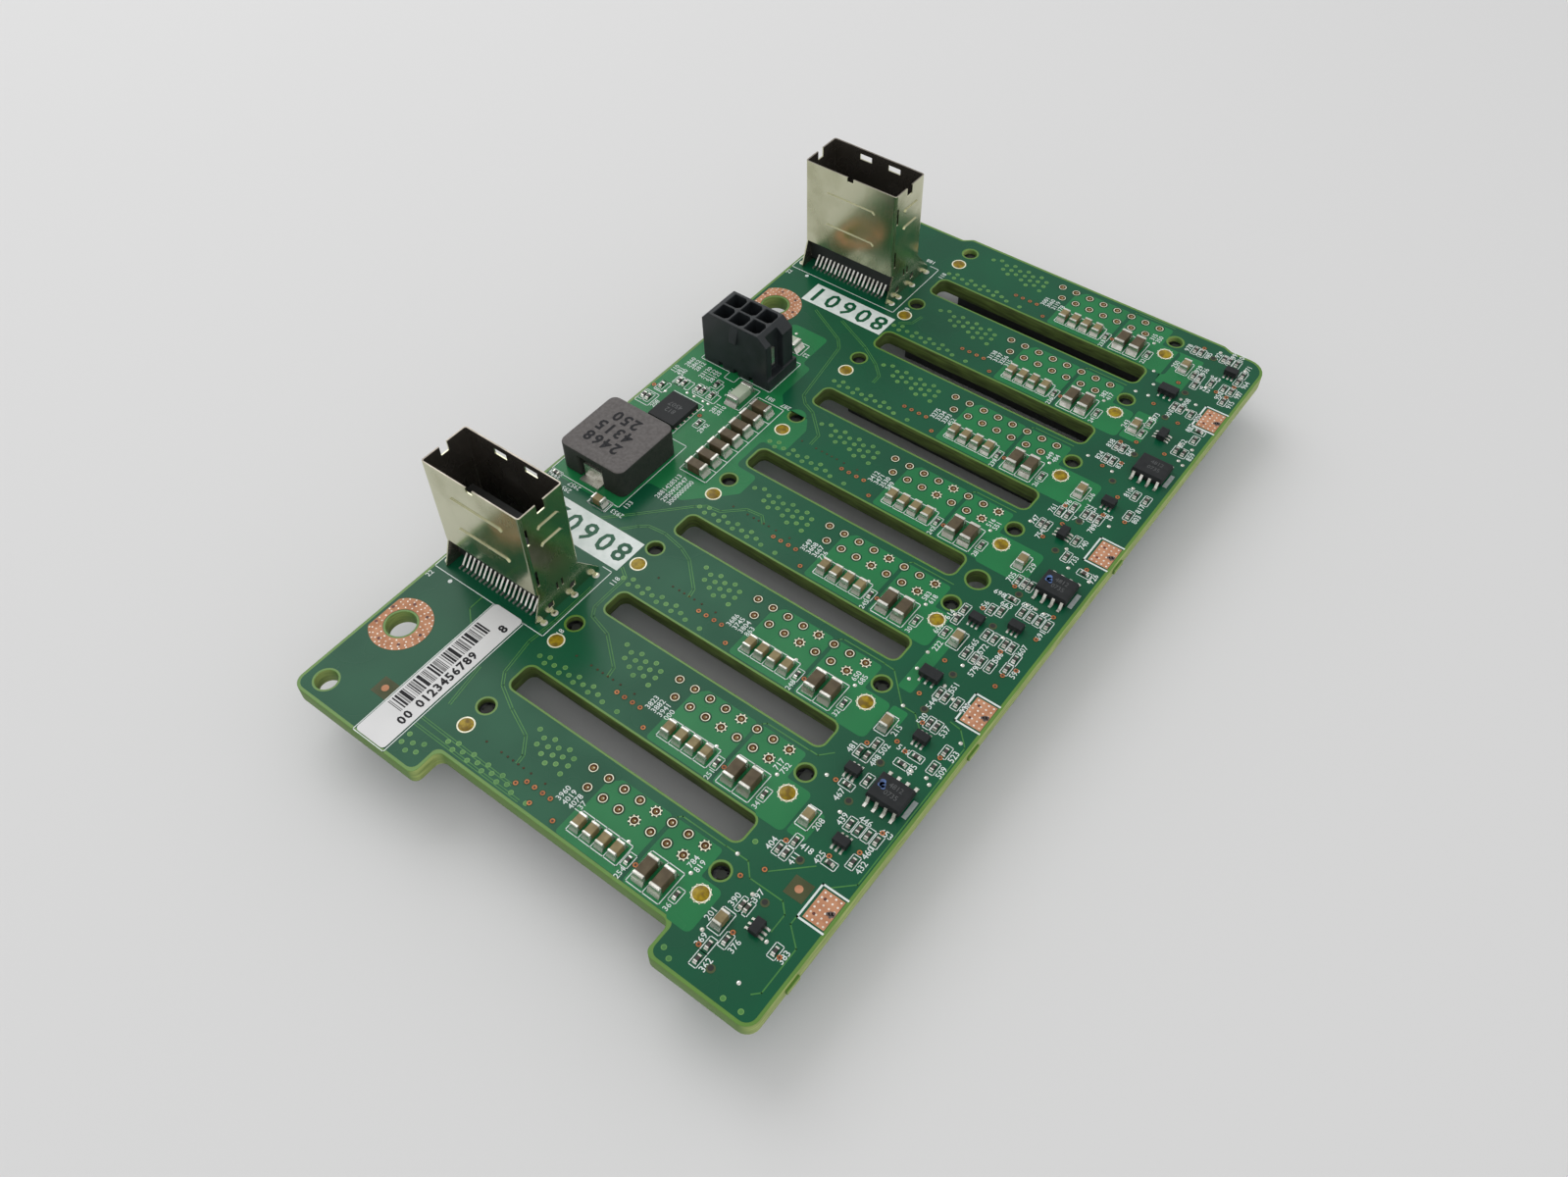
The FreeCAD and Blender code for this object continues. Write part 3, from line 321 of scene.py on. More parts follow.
class Ink(Enum):
    """Every finish of the board and what stands on it."""

    LAMINATE = LaminateFinish("laminate", (0.11, 0.24, 0.025), (0.08, 0.2, 0.02), 0.3)
    MASK = Finish("mask_dark", (0.005, 0.092, 0.04), (0.004, 0.075, 0.034), 0.2, 0.1, cells=90.0,
                  relief=0.004, relief_cells=1400.0, gloss=0.22)
    POUR = Finish("mask_pour", (0.014, 0.185, 0.058), (0.011, 0.16, 0.05), 0.2, 0.1, cells=110.0,
                  gloss=0.22)
    TRACE = Finish("mask_trace", (0.06, 0.22, 0.05), (0.045, 0.18, 0.045), 0.22, gloss=0.25)
    TENTED = Finish("mask_tented", (0.085, 0.24, 0.06), (0.06, 0.19, 0.05), 0.22, gloss=0.25)
    TENTED_RIM = Finish("mask_tented_rim", (0.17, 0.36, 0.1), (0.12, 0.3, 0.08), 0.22, gloss=0.25)
    CLEAR = Finish("mask_clearance", (0.003, 0.06, 0.022), (0.003, 0.048, 0.018), 0.24, gloss=0.22)
    BARE = Finish("mask_bare", (0.06, 0.07, 0.022), (0.045, 0.055, 0.016), 0.4, gloss=0.3)
    SMUDGE = Finish("smudge", (0.12, 0.09, 0.08), (0.06, 0.045, 0.04), 0.5)
    BAR = Finish("print_bar", (0.36, 0.4, 0.39), (0.28, 0.32, 0.31), 0.5, cells=2500.0)
    DAB = Finish("paint_dab", (0.08, 0.17, 0.42), (0.03, 0.06, 0.16), 0.3, cells=1500.0)
    SILK = Finish("print_white", (0.73, 0.78, 0.76), (0.62, 0.69, 0.66), 0.55, 0.1, cells=700.0)
    COPPER = Finish("copper_bare", (0.54, 0.27, 0.155), (0.45, 0.21, 0.115), 0.5, 0.2, 0.1, 700.0,
                    gloss=0.15)
    LAND_DOT = Finish("land_dot", (0.86, 0.82, 0.75), (0.7, 0.6, 0.5), 0.35, 0.2, 0.2, 900.0)
    VIA_RIM = Finish("copper_via", (0.5, 0.17, 0.045), (0.36, 0.11, 0.028), 0.35, 0.2, 0.3, 500.0)
    VIA_DARK = Finish("via_dark", (0.16, 0.025, 0.012), (0.05, 0.012, 0.008), 0.4)
    TIN = Finish("tin", (0.76, 0.75, 0.7), (0.55, 0.54, 0.48), 0.2, 0.22, 0.92, 900.0, 0.01, 1800.0)
    PIN_RING = Finish("pin_ring", (0.9, 0.88, 0.7), (0.74, 0.72, 0.54), 0.3, 0.2, 0.1, 1500.0)
    PIN_HOLE = Finish("pin_hole", (0.085, 0.03, 0.006), (0.05, 0.018, 0.005), 0.4, 0.2, 0.0, 1200.0,
                      gloss=0.1)
    PIN_END = Finish("pin_end", (0.26, 0.17, 0.05), (0.16, 0.1, 0.03), 0.4, gloss=0.2)
    HOLE = Finish("hole_brown", (0.07, 0.03, 0.012), (0.04, 0.02, 0.01), 0.5)
    # Painted shade: near black for the depth of the plain holes and the peg hollows, and olive for the
    # plain holes' glass fibre walls in shade.
    DARK_HOLE = Finish("hole_painted_shade", (0.008, 0.01, 0.008), (0.014, 0.018, 0.01), 0.6)
    OLIVE_HOLE = Finish("hole_olive", (0.05, 0.07, 0.012), (0.03, 0.045, 0.01), 0.5)
    AMBER = Finish("flux_amber", (0.36, 0.25, 0.008), (0.16, 0.1, 0.004), 0.2, 0.1, 0.0, 1300.0,
                   0.03, 1200.0, 0.05, 0.2)
    PLASTIC = Finish("plastic_black", (0.018, 0.02, 0.02), (0.024, 0.026, 0.026), 0.42, 0.12, cells=500.0,
                     relief=0.004)
    PEG = Finish("plastic_peg", (0.009, 0.011, 0.01), (0.013, 0.015, 0.014), 0.5, gloss=0.25)
    HEADER = Finish("plastic_header", (0.012, 0.015, 0.017), (0.018, 0.022, 0.025), 0.4, 0.12, cells=400.0,
                    relief=0.004, gloss=0.4)
    GOLD = Finish("contact_gold", (0.8, 0.55, 0.22), (0.7, 0.46, 0.18), 0.25, 0.1, 1.0)
    CAGE = SheetFinish("cage_sheet", (0.62, 0.62, 0.45), (0.5, 0.5, 0.34), 0.15, 0.12, 1.0, relief=0.002)
    # Painted shade: a darker copy of the sheet for the cage's inner faces.
    CAGE_INSIDE = Finish("cage_inside", (0.32, 0.29, 0.25), (0.2, 0.18, 0.15), 0.2, 0.15, 0.9)
    CORE = Finish("powder_core", (0.13, 0.12, 0.117), (0.105, 0.096, 0.094), 0.62, 0.12, cells=1800.0,
                  relief=0.02, relief_cells=4200.0, gloss=0.3)
    # Painted shade: a darker copy of the core's finish for its sides.
    CORE_SIDE = Finish("powder_core_side_shade", (0.02, 0.024, 0.02), (0.03, 0.034, 0.028), 0.55, 0.12,
                       cells=1800.0, relief=0.02, relief_cells=4200.0, gloss=0.3)
    CHIP = Finish("chip_black", (0.013, 0.015, 0.016), (0.02, 0.022, 0.023), 0.45, 0.12, cells=900.0,
                  relief=0.004, relief_cells=5000.0, gloss=0.2)
    CHIP_MARK = Finish("chip_mark", (0.075, 0.08, 0.082), (0.06, 0.064, 0.066), 0.5, cells=900.0)
    CERAMIC = Finish("ceramic_brown", (0.26, 0.205, 0.095), (0.2, 0.155, 0.07), 0.36, 0.12, cells=900.0,
                     gloss=0.3)
    CERAMIC_DARK = Finish("ceramic_dark", (0.1, 0.075, 0.038), (0.075, 0.054, 0.028), 0.38, 0.12,
                          cells=900.0, gloss=0.3)
    RESISTOR = Finish("resistor_top", (0.02, 0.019, 0.018), (0.05, 0.04, 0.03), 0.4)
    FUSE = Finish("fuse_white", (0.46, 0.52, 0.4), (0.36, 0.43, 0.31), 0.35, coat=0.3)
    PAPER = Finish("label_paper", (0.7, 0.7, 0.7), (0.66, 0.66, 0.66), 0.5, 0.1, cells=120.0)
    LABEL_INK = Finish("label_ink", (0.012, 0.012, 0.014), (0.022, 0.022, 0.025), 0.6, cells=900.0,
                       gloss=0.2)
    LABEL_GREY = Finish("label_grey", (0.2, 0.2, 0.2), (0.28, 0.28, 0.28), 0.55, cells=900.0)

    def material(self) -> bpy.types.Material:
        """The finish's material."""
        return self.value.material()


class Layer(Enum):
    """Heights of the flat layers over the board's top face, in millimetres."""

    PLANE = 0.010
    POUR = 0.016
    TRACE = 0.022
    TENTED = 0.028
    SILK = 0.034
    LAND = 0.040
    HOLE = 0.052
    DOT = 0.064
    SHINE = 0.076


# ---- meshes ----------------------------------------------------------------------------------
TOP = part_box("circuit_board")[1].z / MM
BOARD_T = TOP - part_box("circuit_board")[0].z / MM
LAMINATE = "board_laminate"
TINNED = "tinned"
PRINT_LINE = 0.13
FIGURE_HIGH = 0.8
VIA_CLEAR = 0.46
VIA_RIM = 0.33
VIA_HOLE = 0.17
EDGE_PADS = (49.2, 16.2, -16.7, -49.8)


def rounded(corners: Sequence[Colour], steps: int = 6) -> list[Point]:
    """Closed outline with rounded corners.

    Args:
        corners: places and radii, in order round the outline.
        steps: straight pieces in each rounding.

    Returns:
        The outline's points.
    """
    points: list[Point] = []
    for i, (x, y, radius) in enumerate(corners):
        corner = Vector((x, y))
        before = (Vector(corners[i - 1][:2]) - corner).normalized()
        after = (Vector(corners[(i + 1) % len(corners)][:2]) - corner).normalized()
        half = before.angle(after) / 2.0
        if radius <= 0.0:
            points.append((x, y))
            continue
        centre = corner + (before + after).normalized() * (radius / math.sin(half))
        start = corner + before * (radius / math.tan(half)) - centre
        turn = (math.pi - 2.0 * half) * (1.0 if before.cross(after) < 0.0 else -1.0)
        for k in range(steps + 1):
            spoke = Matrix.Rotation(turn * k / steps, 2) @ start
            points.append(tuple(centre + spoke))
    return points


def circle(x: float, y: float, radius: float, sides: int = 32, start: float = 0.0) -> list[Point]:
    """Places spaced evenly on a circle, the first of them a share of a step on."""
    turns = (math.tau * (i + start) / sides for i in range(sides))
    return [(x + radius * math.cos(a), y + radius * math.sin(a)) for a in turns]


def box_outline(x0: float, x1: float, y0: float, y1: float, radius: float) -> list[Point]:
    """Points of a rectangle with rounded corners."""
    return rounded([(x0, y0, radius), (x1, y0, radius), (x1, y1, radius), (x0, y1, radius)])


def adopt(piece: bpy.types.Object, slot: str, nodes: Iterable[str] = ()) -> bpy.types.Object:
    """Ties a piece to the frame.

    Args:
        piece: the finished object.
        slot: the record's material slot, which is not used.
        nodes: frame nodes that it stands for.

    Returns:
        The piece.
    """
    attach(piece, ROOT)
    for node in nodes:
        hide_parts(node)
    LOG.info("%s: %d faces", piece.name, len(piece.data.polygons))
    return piece


def shown(name: str, data: bpy.types.ID) -> bpy.types.Object:
    """New object in the scene."""
    made = bpy.data.objects.new(name, data)
    bpy.context.scene.collection.objects.link(made)
    return made


def linked(name: str, mesh: bpy.types.Mesh, ink: Ink) -> bpy.types.Object:
    """Object of a mesh, in the scene, with its finish."""
    mesh.materials.clear()
    mesh.materials.append(ink.material())
    return shown(name, mesh)


def dress(nodes: Iterable[str], ink: Ink) -> None:
    """Gives frame nodes a finish."""
    for node in nodes:
        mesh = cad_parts[node].data
        mesh.materials.clear()
        mesh.materials.append(ink.material())


def filled(curve: bpy.types.Curve) -> bpy.types.Mesh:
    """Mesh of a curve, made by way of an object that doesn't stay in the scene."""
    shape = shown(curve.name, curve)
    graph = bpy.context.evaluated_depsgraph_get()
    mesh = bpy.data.meshes.new_from_object(shape.evaluated_get(graph))
    bpy.data.objects.remove(shape)
    return mesh


def baked(name: str, mesh: bmesh.types.BMesh) -> bpy.types.Mesh:
    """Mesh data of an edited mesh, which is freed."""
    data = bpy.data.meshes.new(name)
    mesh.to_mesh(data)
    mesh.free()
    return data


def bevelled(mesh: bmesh.types.BMesh, edges: list[bmesh.types.BMEdge], offset: float,
             segments: int) -> None:
    """Rounds edges by an offset in millimetres."""
    bmesh.ops.bevel(mesh, geom=edges, offset=offset * MM, segments=segments, affect="EDGES",
                    profile=0.5, material=-1, clamp_overlap=True)


def plate(name: str, loops: Sequence[Sequence[Point]], low: float, thickness: float, ink: Ink,
          rim: float = 0.0) -> bpy.types.Object:
    """Flat plate cut from outlines, where an outline inside another is a hole.

    Args:
        name: the piece's name.
        loops: closed outlines.
        low: height of its lower face.
        thickness: how thick it is.
        ink: its finish.
        rim: rounding of its edges.

    Returns:
        The piece.
    """
    curve = bpy.data.curves.new(name, "CURVE")
    curve.dimensions = "2D"
    curve.fill_mode = "BOTH" if thickness else "FRONT"
    curve.extrude = max(thickness / 2.0 - rim, 0.0) * MM
    curve.bevel_depth = rim * MM
    curve.offset = -rim * MM
    curve.bevel_resolution = 1
    for loop in loops:
        spline = curve.splines.new("POLY")
        spline.points.add(len(loop) - 1)
        for point, (x, y) in zip(spline.points, loop):
            point.co = (x * MM, y * MM, 0.0, 1.0)
        spline.use_cyclic_u = True
    mesh = filled(curve)
    mesh.transform(Matrix.Translation((0.0, 0.0, (low + thickness / 2.0) * MM)))
    return linked(name, mesh, ink)


def figure(digit: str, weight: float) -> bpy.types.Mesh:
    """Flat mesh of a figure one unit high about its middle, made once.

    Args:
        digit: the figure.
        weight: how much bolder its strokes are.

    Returns:
        The mesh.
    """
    name = f"figure_{digit}_{round(weight * 1000)}"
    if name in bpy.data.meshes:
        return bpy.data.meshes[name]
    curve = bpy.data.curves.new(name, "FONT")
    curve.body = digit
    curve.align_x = "CENTER"
    curve.resolution_u = 2
    curve.offset = weight
    mesh = filled(curve)
    levels = [v.co.y for v in mesh.vertices]
    low, high = min(levels), max(levels)
    middle = Matrix.Translation((0.0, -(low + high) / 2.0, 0.0))
    mesh.transform(Matrix.Scale(1.0 / (high - low), 4) @ middle)
    mesh.name = name
    return mesh


class Art:
    """Shapes gathered in one mesh: flat ones on a layer, and small solids."""

    def __init__(self, name: str, layer: Layer = Layer.SILK, under: bool = False) -> None:
        """Starts an empty mesh for a layer of the top face, or of the underside."""
        self.name = name
        self.facing = -1.0 if under else 1.0
        self.height = TOP - BOARD_T - layer.value if under else TOP + layer.value
        self.mesh = bmesh.new()

    def place(self, x: float, y: float, z: float, size: Sequence[float], turn: float = 0.0) -> Matrix:
        """Matrix that puts a unit shape at a place with a size and a turn about Z."""
        here = Matrix.Translation((x * MM, y * MM, z * MM))
        scale = Matrix.Diagonal((size[0] * MM, size[1] * MM, size[2] * MM, 1.0))
        return here @ Matrix.Rotation(turn, 4, "Z") @ scale

    def bar(self, x: float, y: float, length: float, width: float, turn: float = 0.0) -> None:
        """Flat bar centred on a place."""
        matrix = self.place(x, y, self.height, (length, width, 1.0), turn)
        bmesh.ops.create_grid(self.mesh, x_segments=1, y_segments=1, size=0.5, matrix=matrix)

    def rect(self, x0: float, x1: float, y0: float, y1: float) -> None:
        """Flat rectangle between two corners."""
        self.bar((x0 + x1) / 2.0, (y0 + y1) / 2.0, abs(x1 - x0), abs(y1 - y0))

    def disc(self, x: float, y: float, radius: float, sides: int = 12) -> None:
        """Flat disc."""
        matrix = self.place(x, y, self.height, (radius, radius, 1.0))
        bmesh.ops.create_circle(self.mesh, cap_ends=True, radius=1.0, segments=sides, matrix=matrix)

    def ring(self, x: float, y: float, outer: float, inner: float, sides: int = 20) -> None:
        """Flat ring."""
        matrix = self.place(x, y, self.height, (outer, outer, 1.0))
        made = bmesh.ops.create_circle(self.mesh, cap_ends=True, radius=1.0, segments=sides, matrix=matrix)
        face = made["verts"][0].link_faces[0]
        width = (outer - inner) * MM
        bmesh.ops.inset_individual(self.mesh, faces=[face], thickness=width, use_even_offset=True)
        bmesh.ops.delete(self.mesh, geom=[face], context="FACES_ONLY")

    def stroke(self, points: Sequence[Point], width: float = PRINT_LINE, shift: float = 0.0) -> None:
        """Flat line through points, moved sideways by a shift."""
        for (x0, y0), (x1, y1) in zip(points, points[1:]):
            length = math.hypot(x1 - x0, y1 - y0)
            across = Vector((y0 - y1, x1 - x0)) / length * shift
            x, y = (x0 + x1) / 2.0 + across.x, (y0 + y1) / 2.0 + across.y
            self.bar(x, y, length + width, width, math.atan2(y1 - y0, x1 - x0))

    def frame(self, x0: float, x1: float, y0: float, y1: float, width: float = PRINT_LINE) -> None:
        """Outline of a rectangle."""
        self.stroke([(x0, y0), (x1, y0), (x1, y1), (x0, y1), (x0, y0)], width)

    def number(self, digits: str, x: float, y: float, height: float = FIGURE_HIGH, turn: int = 0,
               weight: float = 0.008, step: float = 0.7) -> None:
        """Plain number, centred on a place.

        Args:
            digits: the figures.
            x: middle along X.
            y: middle along Y.
            height: height of a figure.
            turn: turn about Z, in quarter turns.
            weight: how much bolder the strokes are, for a figure one unit high.
            step: from one figure to the next, in heights.
        """
        angle = turn * math.pi / 2.0
        for i, digit in enumerate(digits):
            along = (i - (len(digits) - 1) / 2.0) * height * step * self.facing
            offset = Matrix.Rotation(angle, 2) @ Vector((along, 0.0))
            shape = figure(digit, weight).copy()
            size = (height * self.facing, height, 1.0)
            shape.transform(self.place(x + offset.x, y + offset.y, self.height, size, angle))
            self.mesh.from_mesh(shape)
            bpy.data.meshes.remove(shape)

    def solid(self, low: Vector, high: Vector) -> list[bmesh.types.BMVert]:
        """Box between two corners, heights over the board.

        Args:
            low: its lowest corner.
            high: its highest corner.

        Returns:
            Its vertices.
        """
        middle, size = (low + high) / 2.0, high - low
        matrix = self.place(middle.x, middle.y, TOP + middle.z, size)
        return bmesh.ops.create_cube(self.mesh, size=1.0, matrix=matrix)["verts"]

    def dome(self, x: float, y: float, radius: float, height: float, sides: int = 16) -> None:
        """Low dome standing on the board."""
        matrix = self.place(x, y, TOP, (radius, radius, height))
        made = bmesh.ops.create_uvsphere(self.mesh, u_segments=sides, v_segments=8, radius=1.0,
                                         matrix=matrix)
        lower = [v for v in made["verts"] if v.co.z < (TOP - height * 0.1) * MM]
        bmesh.ops.delete(self.mesh, geom=lower, context="VERTS")

    def cone(self, x: float, y: float, low: float, high: float, radius: float, foot: float = 1.0,
             sides: int = 16) -> None:
        """Upright closed cone or cylinder, heights over the board.

        Args:
            x: its axis along X.
            y: its axis along Y.
            low: where it starts.
            high: where it ends.
            radius: radius at the upper end.
            foot: radius at the lower end, as a share of the upper one.
            sides: faces round it.
        """
        matrix = self.place(x, y, TOP + (low + high) / 2.0, (radius, radius, high - low))
        bmesh.ops.create_cone(self.mesh, cap_ends=True, segments=sides, radius1=foot, radius2=1.0,
                              depth=1.0, matrix=matrix)

    def fillet(self, x: float, y: float, along: Vector, width: float, run: float, rise: float) -> None:
        """Solder wedge that falls from a part's end.

        Args:
            x: foot of the part's end face, along X.
            y: foot of the part's end face, along Y.
            along: direction away from the part.
            width: width of the end face.
            run: how far the wedge runs out.
            rise: how high it climbs.
        """
        turn = math.atan2(along.y, along.x)
        matrix = self.place(x + along.x * run / 2.0, y + along.y * run / 2.0, TOP + rise / 2.0,
                            (run, width, rise), turn)
        verts = bmesh.ops.create_cube(self.mesh, size=1.0, matrix=matrix)["verts"]
        ahead = Vector((along.x, along.y, 0.0))
        middle = Vector((x, y, 0.0)) * MM + ahead * run / 2.0 * MM
        for vert in verts:
            if vert.co.z > (TOP + rise / 2.0) * MM and (vert.co - middle).dot(ahead) > 0.0:
                vert.co -= ahead * run * 0.8 * MM
                vert.co.z -= rise * 0.25 * MM

    def softened(self, offset: float, segments: int = 1) -> None:
        """Bevels every edge so far."""
        bevelled(self.mesh, list(self.mesh.edges), offset, segments)

    def done(self, ink: Ink, slot: str = LAMINATE, nodes: Iterable[str] = ()) -> bpy.types.Object:
        """Turns the gathered mesh into a piece of the scene.

        Args:
            ink: its finish.
            slot: the record's material slot.
            nodes: frame nodes that it stands for.

        Returns:
            The piece.
        """
        for face in self.mesh.faces:
            flat = abs(face.normal.z) > 0.99 and len(face.edges[0].link_faces) == 1
            if flat and face.normal.z * self.facing < 0.0:
                face.normal_flip()
        return adopt(linked(self.name, baked(self.name, self.mesh), ink), slot, nodes)


@dataclass(frozen=True)
class Block:
    """Box round one solid of a node, heights over the board."""

    low: Vector
    high: Vector

    @property
    def middle(self) -> Vector:
        """Its centre."""
        return (self.low + self.high) / 2.0

    @property
    def size(self) -> Vector:
        """Its three sizes."""
        return self.high - self.low

    @property
    def along(self) -> Vector:
        """Direction of its long side."""
        return Vector((1.0, 0.0, 0.0)) if self.size.x > self.size.y else Vector((0.0, 1.0, 0.0))


def merged(node: str) -> bmesh.types.BMesh:
    """Copy of a node's mesh with its loose triangles joined."""
    mesh = bmesh.new()
    mesh.from_mesh(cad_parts[node].data)
    bmesh.ops.remove_doubles(mesh, verts=mesh.verts, dist=MM * 0.001)
    for face in mesh.faces:
        face.smooth = False
    return mesh


def blocks(node: str) -> list[Block]:
    """Boxes of the separate solids of a node."""
    mesh = merged(node)
    left = set(mesh.verts)
    found = []
    while left:
        edge = [left.pop()]
        group = list(edge)
        while edge:
            around = {e.other_vert(v) for v in edge for e in v.link_edges} & left
            left -= around
            edge = list(around)
            group += edge
        corners = [v.co / MM - Vector((0.0, 0.0, TOP)) for v in group]
        low = Vector(min(c[i] for c in corners) for i in range(3))
        high = Vector(max(c[i] for c in corners) for i in range(3))
        found.append(Block(low, high))
    mesh.free()
    return sorted(found, key=lambda b: (round(b.low.y, 2), round(b.low.x, 2)))


def softened(node: str, name: str, ink: Ink, slot: str, offset: float,
             segments: int = 2) -> bpy.types.Object:
    """Copy of a node with rounded edges, which stands for it.

    Args:
        node: the frame's node.
        name: the new piece's name.
        ink: its finish.
        slot: the record's material slot.
        offset: size of the rounding.
        segments: faces across it.

    Returns:
        The piece.
    """
    mesh = merged(node)
    bmesh.ops.dissolve_limit(mesh, angle_limit=0.02, verts=mesh.verts, edges=mesh.edges)
    sharp = [e for e in mesh.edges if len(e.link_faces) == 2 and e.calc_face_angle() > 0.5]
    bevelled(mesh, sharp, offset, segments)
    data = baked(name, mesh)
    bent = data.attributes.get("custom_normal")
    if bent:
        data.attributes.remove(bent)
    return adopt(linked(name, data, ink), slot, [node])


# ---- board -----------------------------------------------------------------------------------
@dataclass
class Bays:
    """Where the drive bays are."""

    total: int = 8
    pitch: float = 16.5
    first: float = 62.4
    middle_x: float = 4.25
    peg_span: float = 38.5
    hold_down_back: float = 3.6
    slot_back: float = 8.4
    slot_width: float = 4.2
    slot_left: float = -15.1
    slot_right: float = 22.9
    slot_radius: float = 1.1
    cut_left: float = 1.5
    cut_right: float = 1.9
    pin_pitch: float = 1.27
    first_pin: float = 2.2
    pins: int = 15
    pin_rows: Point = (1.42, -1.08)

    def lines(self) -> list[float]:
        """Peg line of every bay, bay 1 first."""
        return [self.first - self.pitch * i for i in range(self.total)]

    def repeated(self, places: Iterable[Point], which: slice = slice(None)) -> list[Point]:
        """Places given from a peg line, in every bay of a slice."""
        places = list(places)
        return [(x, y + back) for y in self.lines()[which] for x, back in places]

    def pegs(self) -> Iterator[Point]:
        """Places of all the pegs."""
        for y in self.lines():
            for side in (-0.5, 0.5):
                yield self.middle_x + side * self.peg_span, y

    def hold_downs(self) -> Iterator[Point]:
        """Places of all the soldered hold-downs."""
        for x, y in self.pegs():
            yield x, y - self.hold_down_back

    def slots(self) -> Iterator[Edges]:
        """Left, right, near and far edges of every air slot."""
        for number, y in enumerate(self.lines()[:-1], 1):
            left = self.slot_left + (self.cut_left if number == 6 else 0.0)
            right = self.slot_right - (self.cut_right if number == 4 else 0.0)
            yield left, right, y - self.slot_back - self.slot_width, y - self.slot_back

    def pin_holes(self, y: float) -> Iterator[tuple[int, float, float]]:
        """Number and place of every power pin of a bay."""
        for i in range(self.pins):
            yield i, self.first_pin + self.pin_pitch * i, y + self.pin_rows[i % 2]


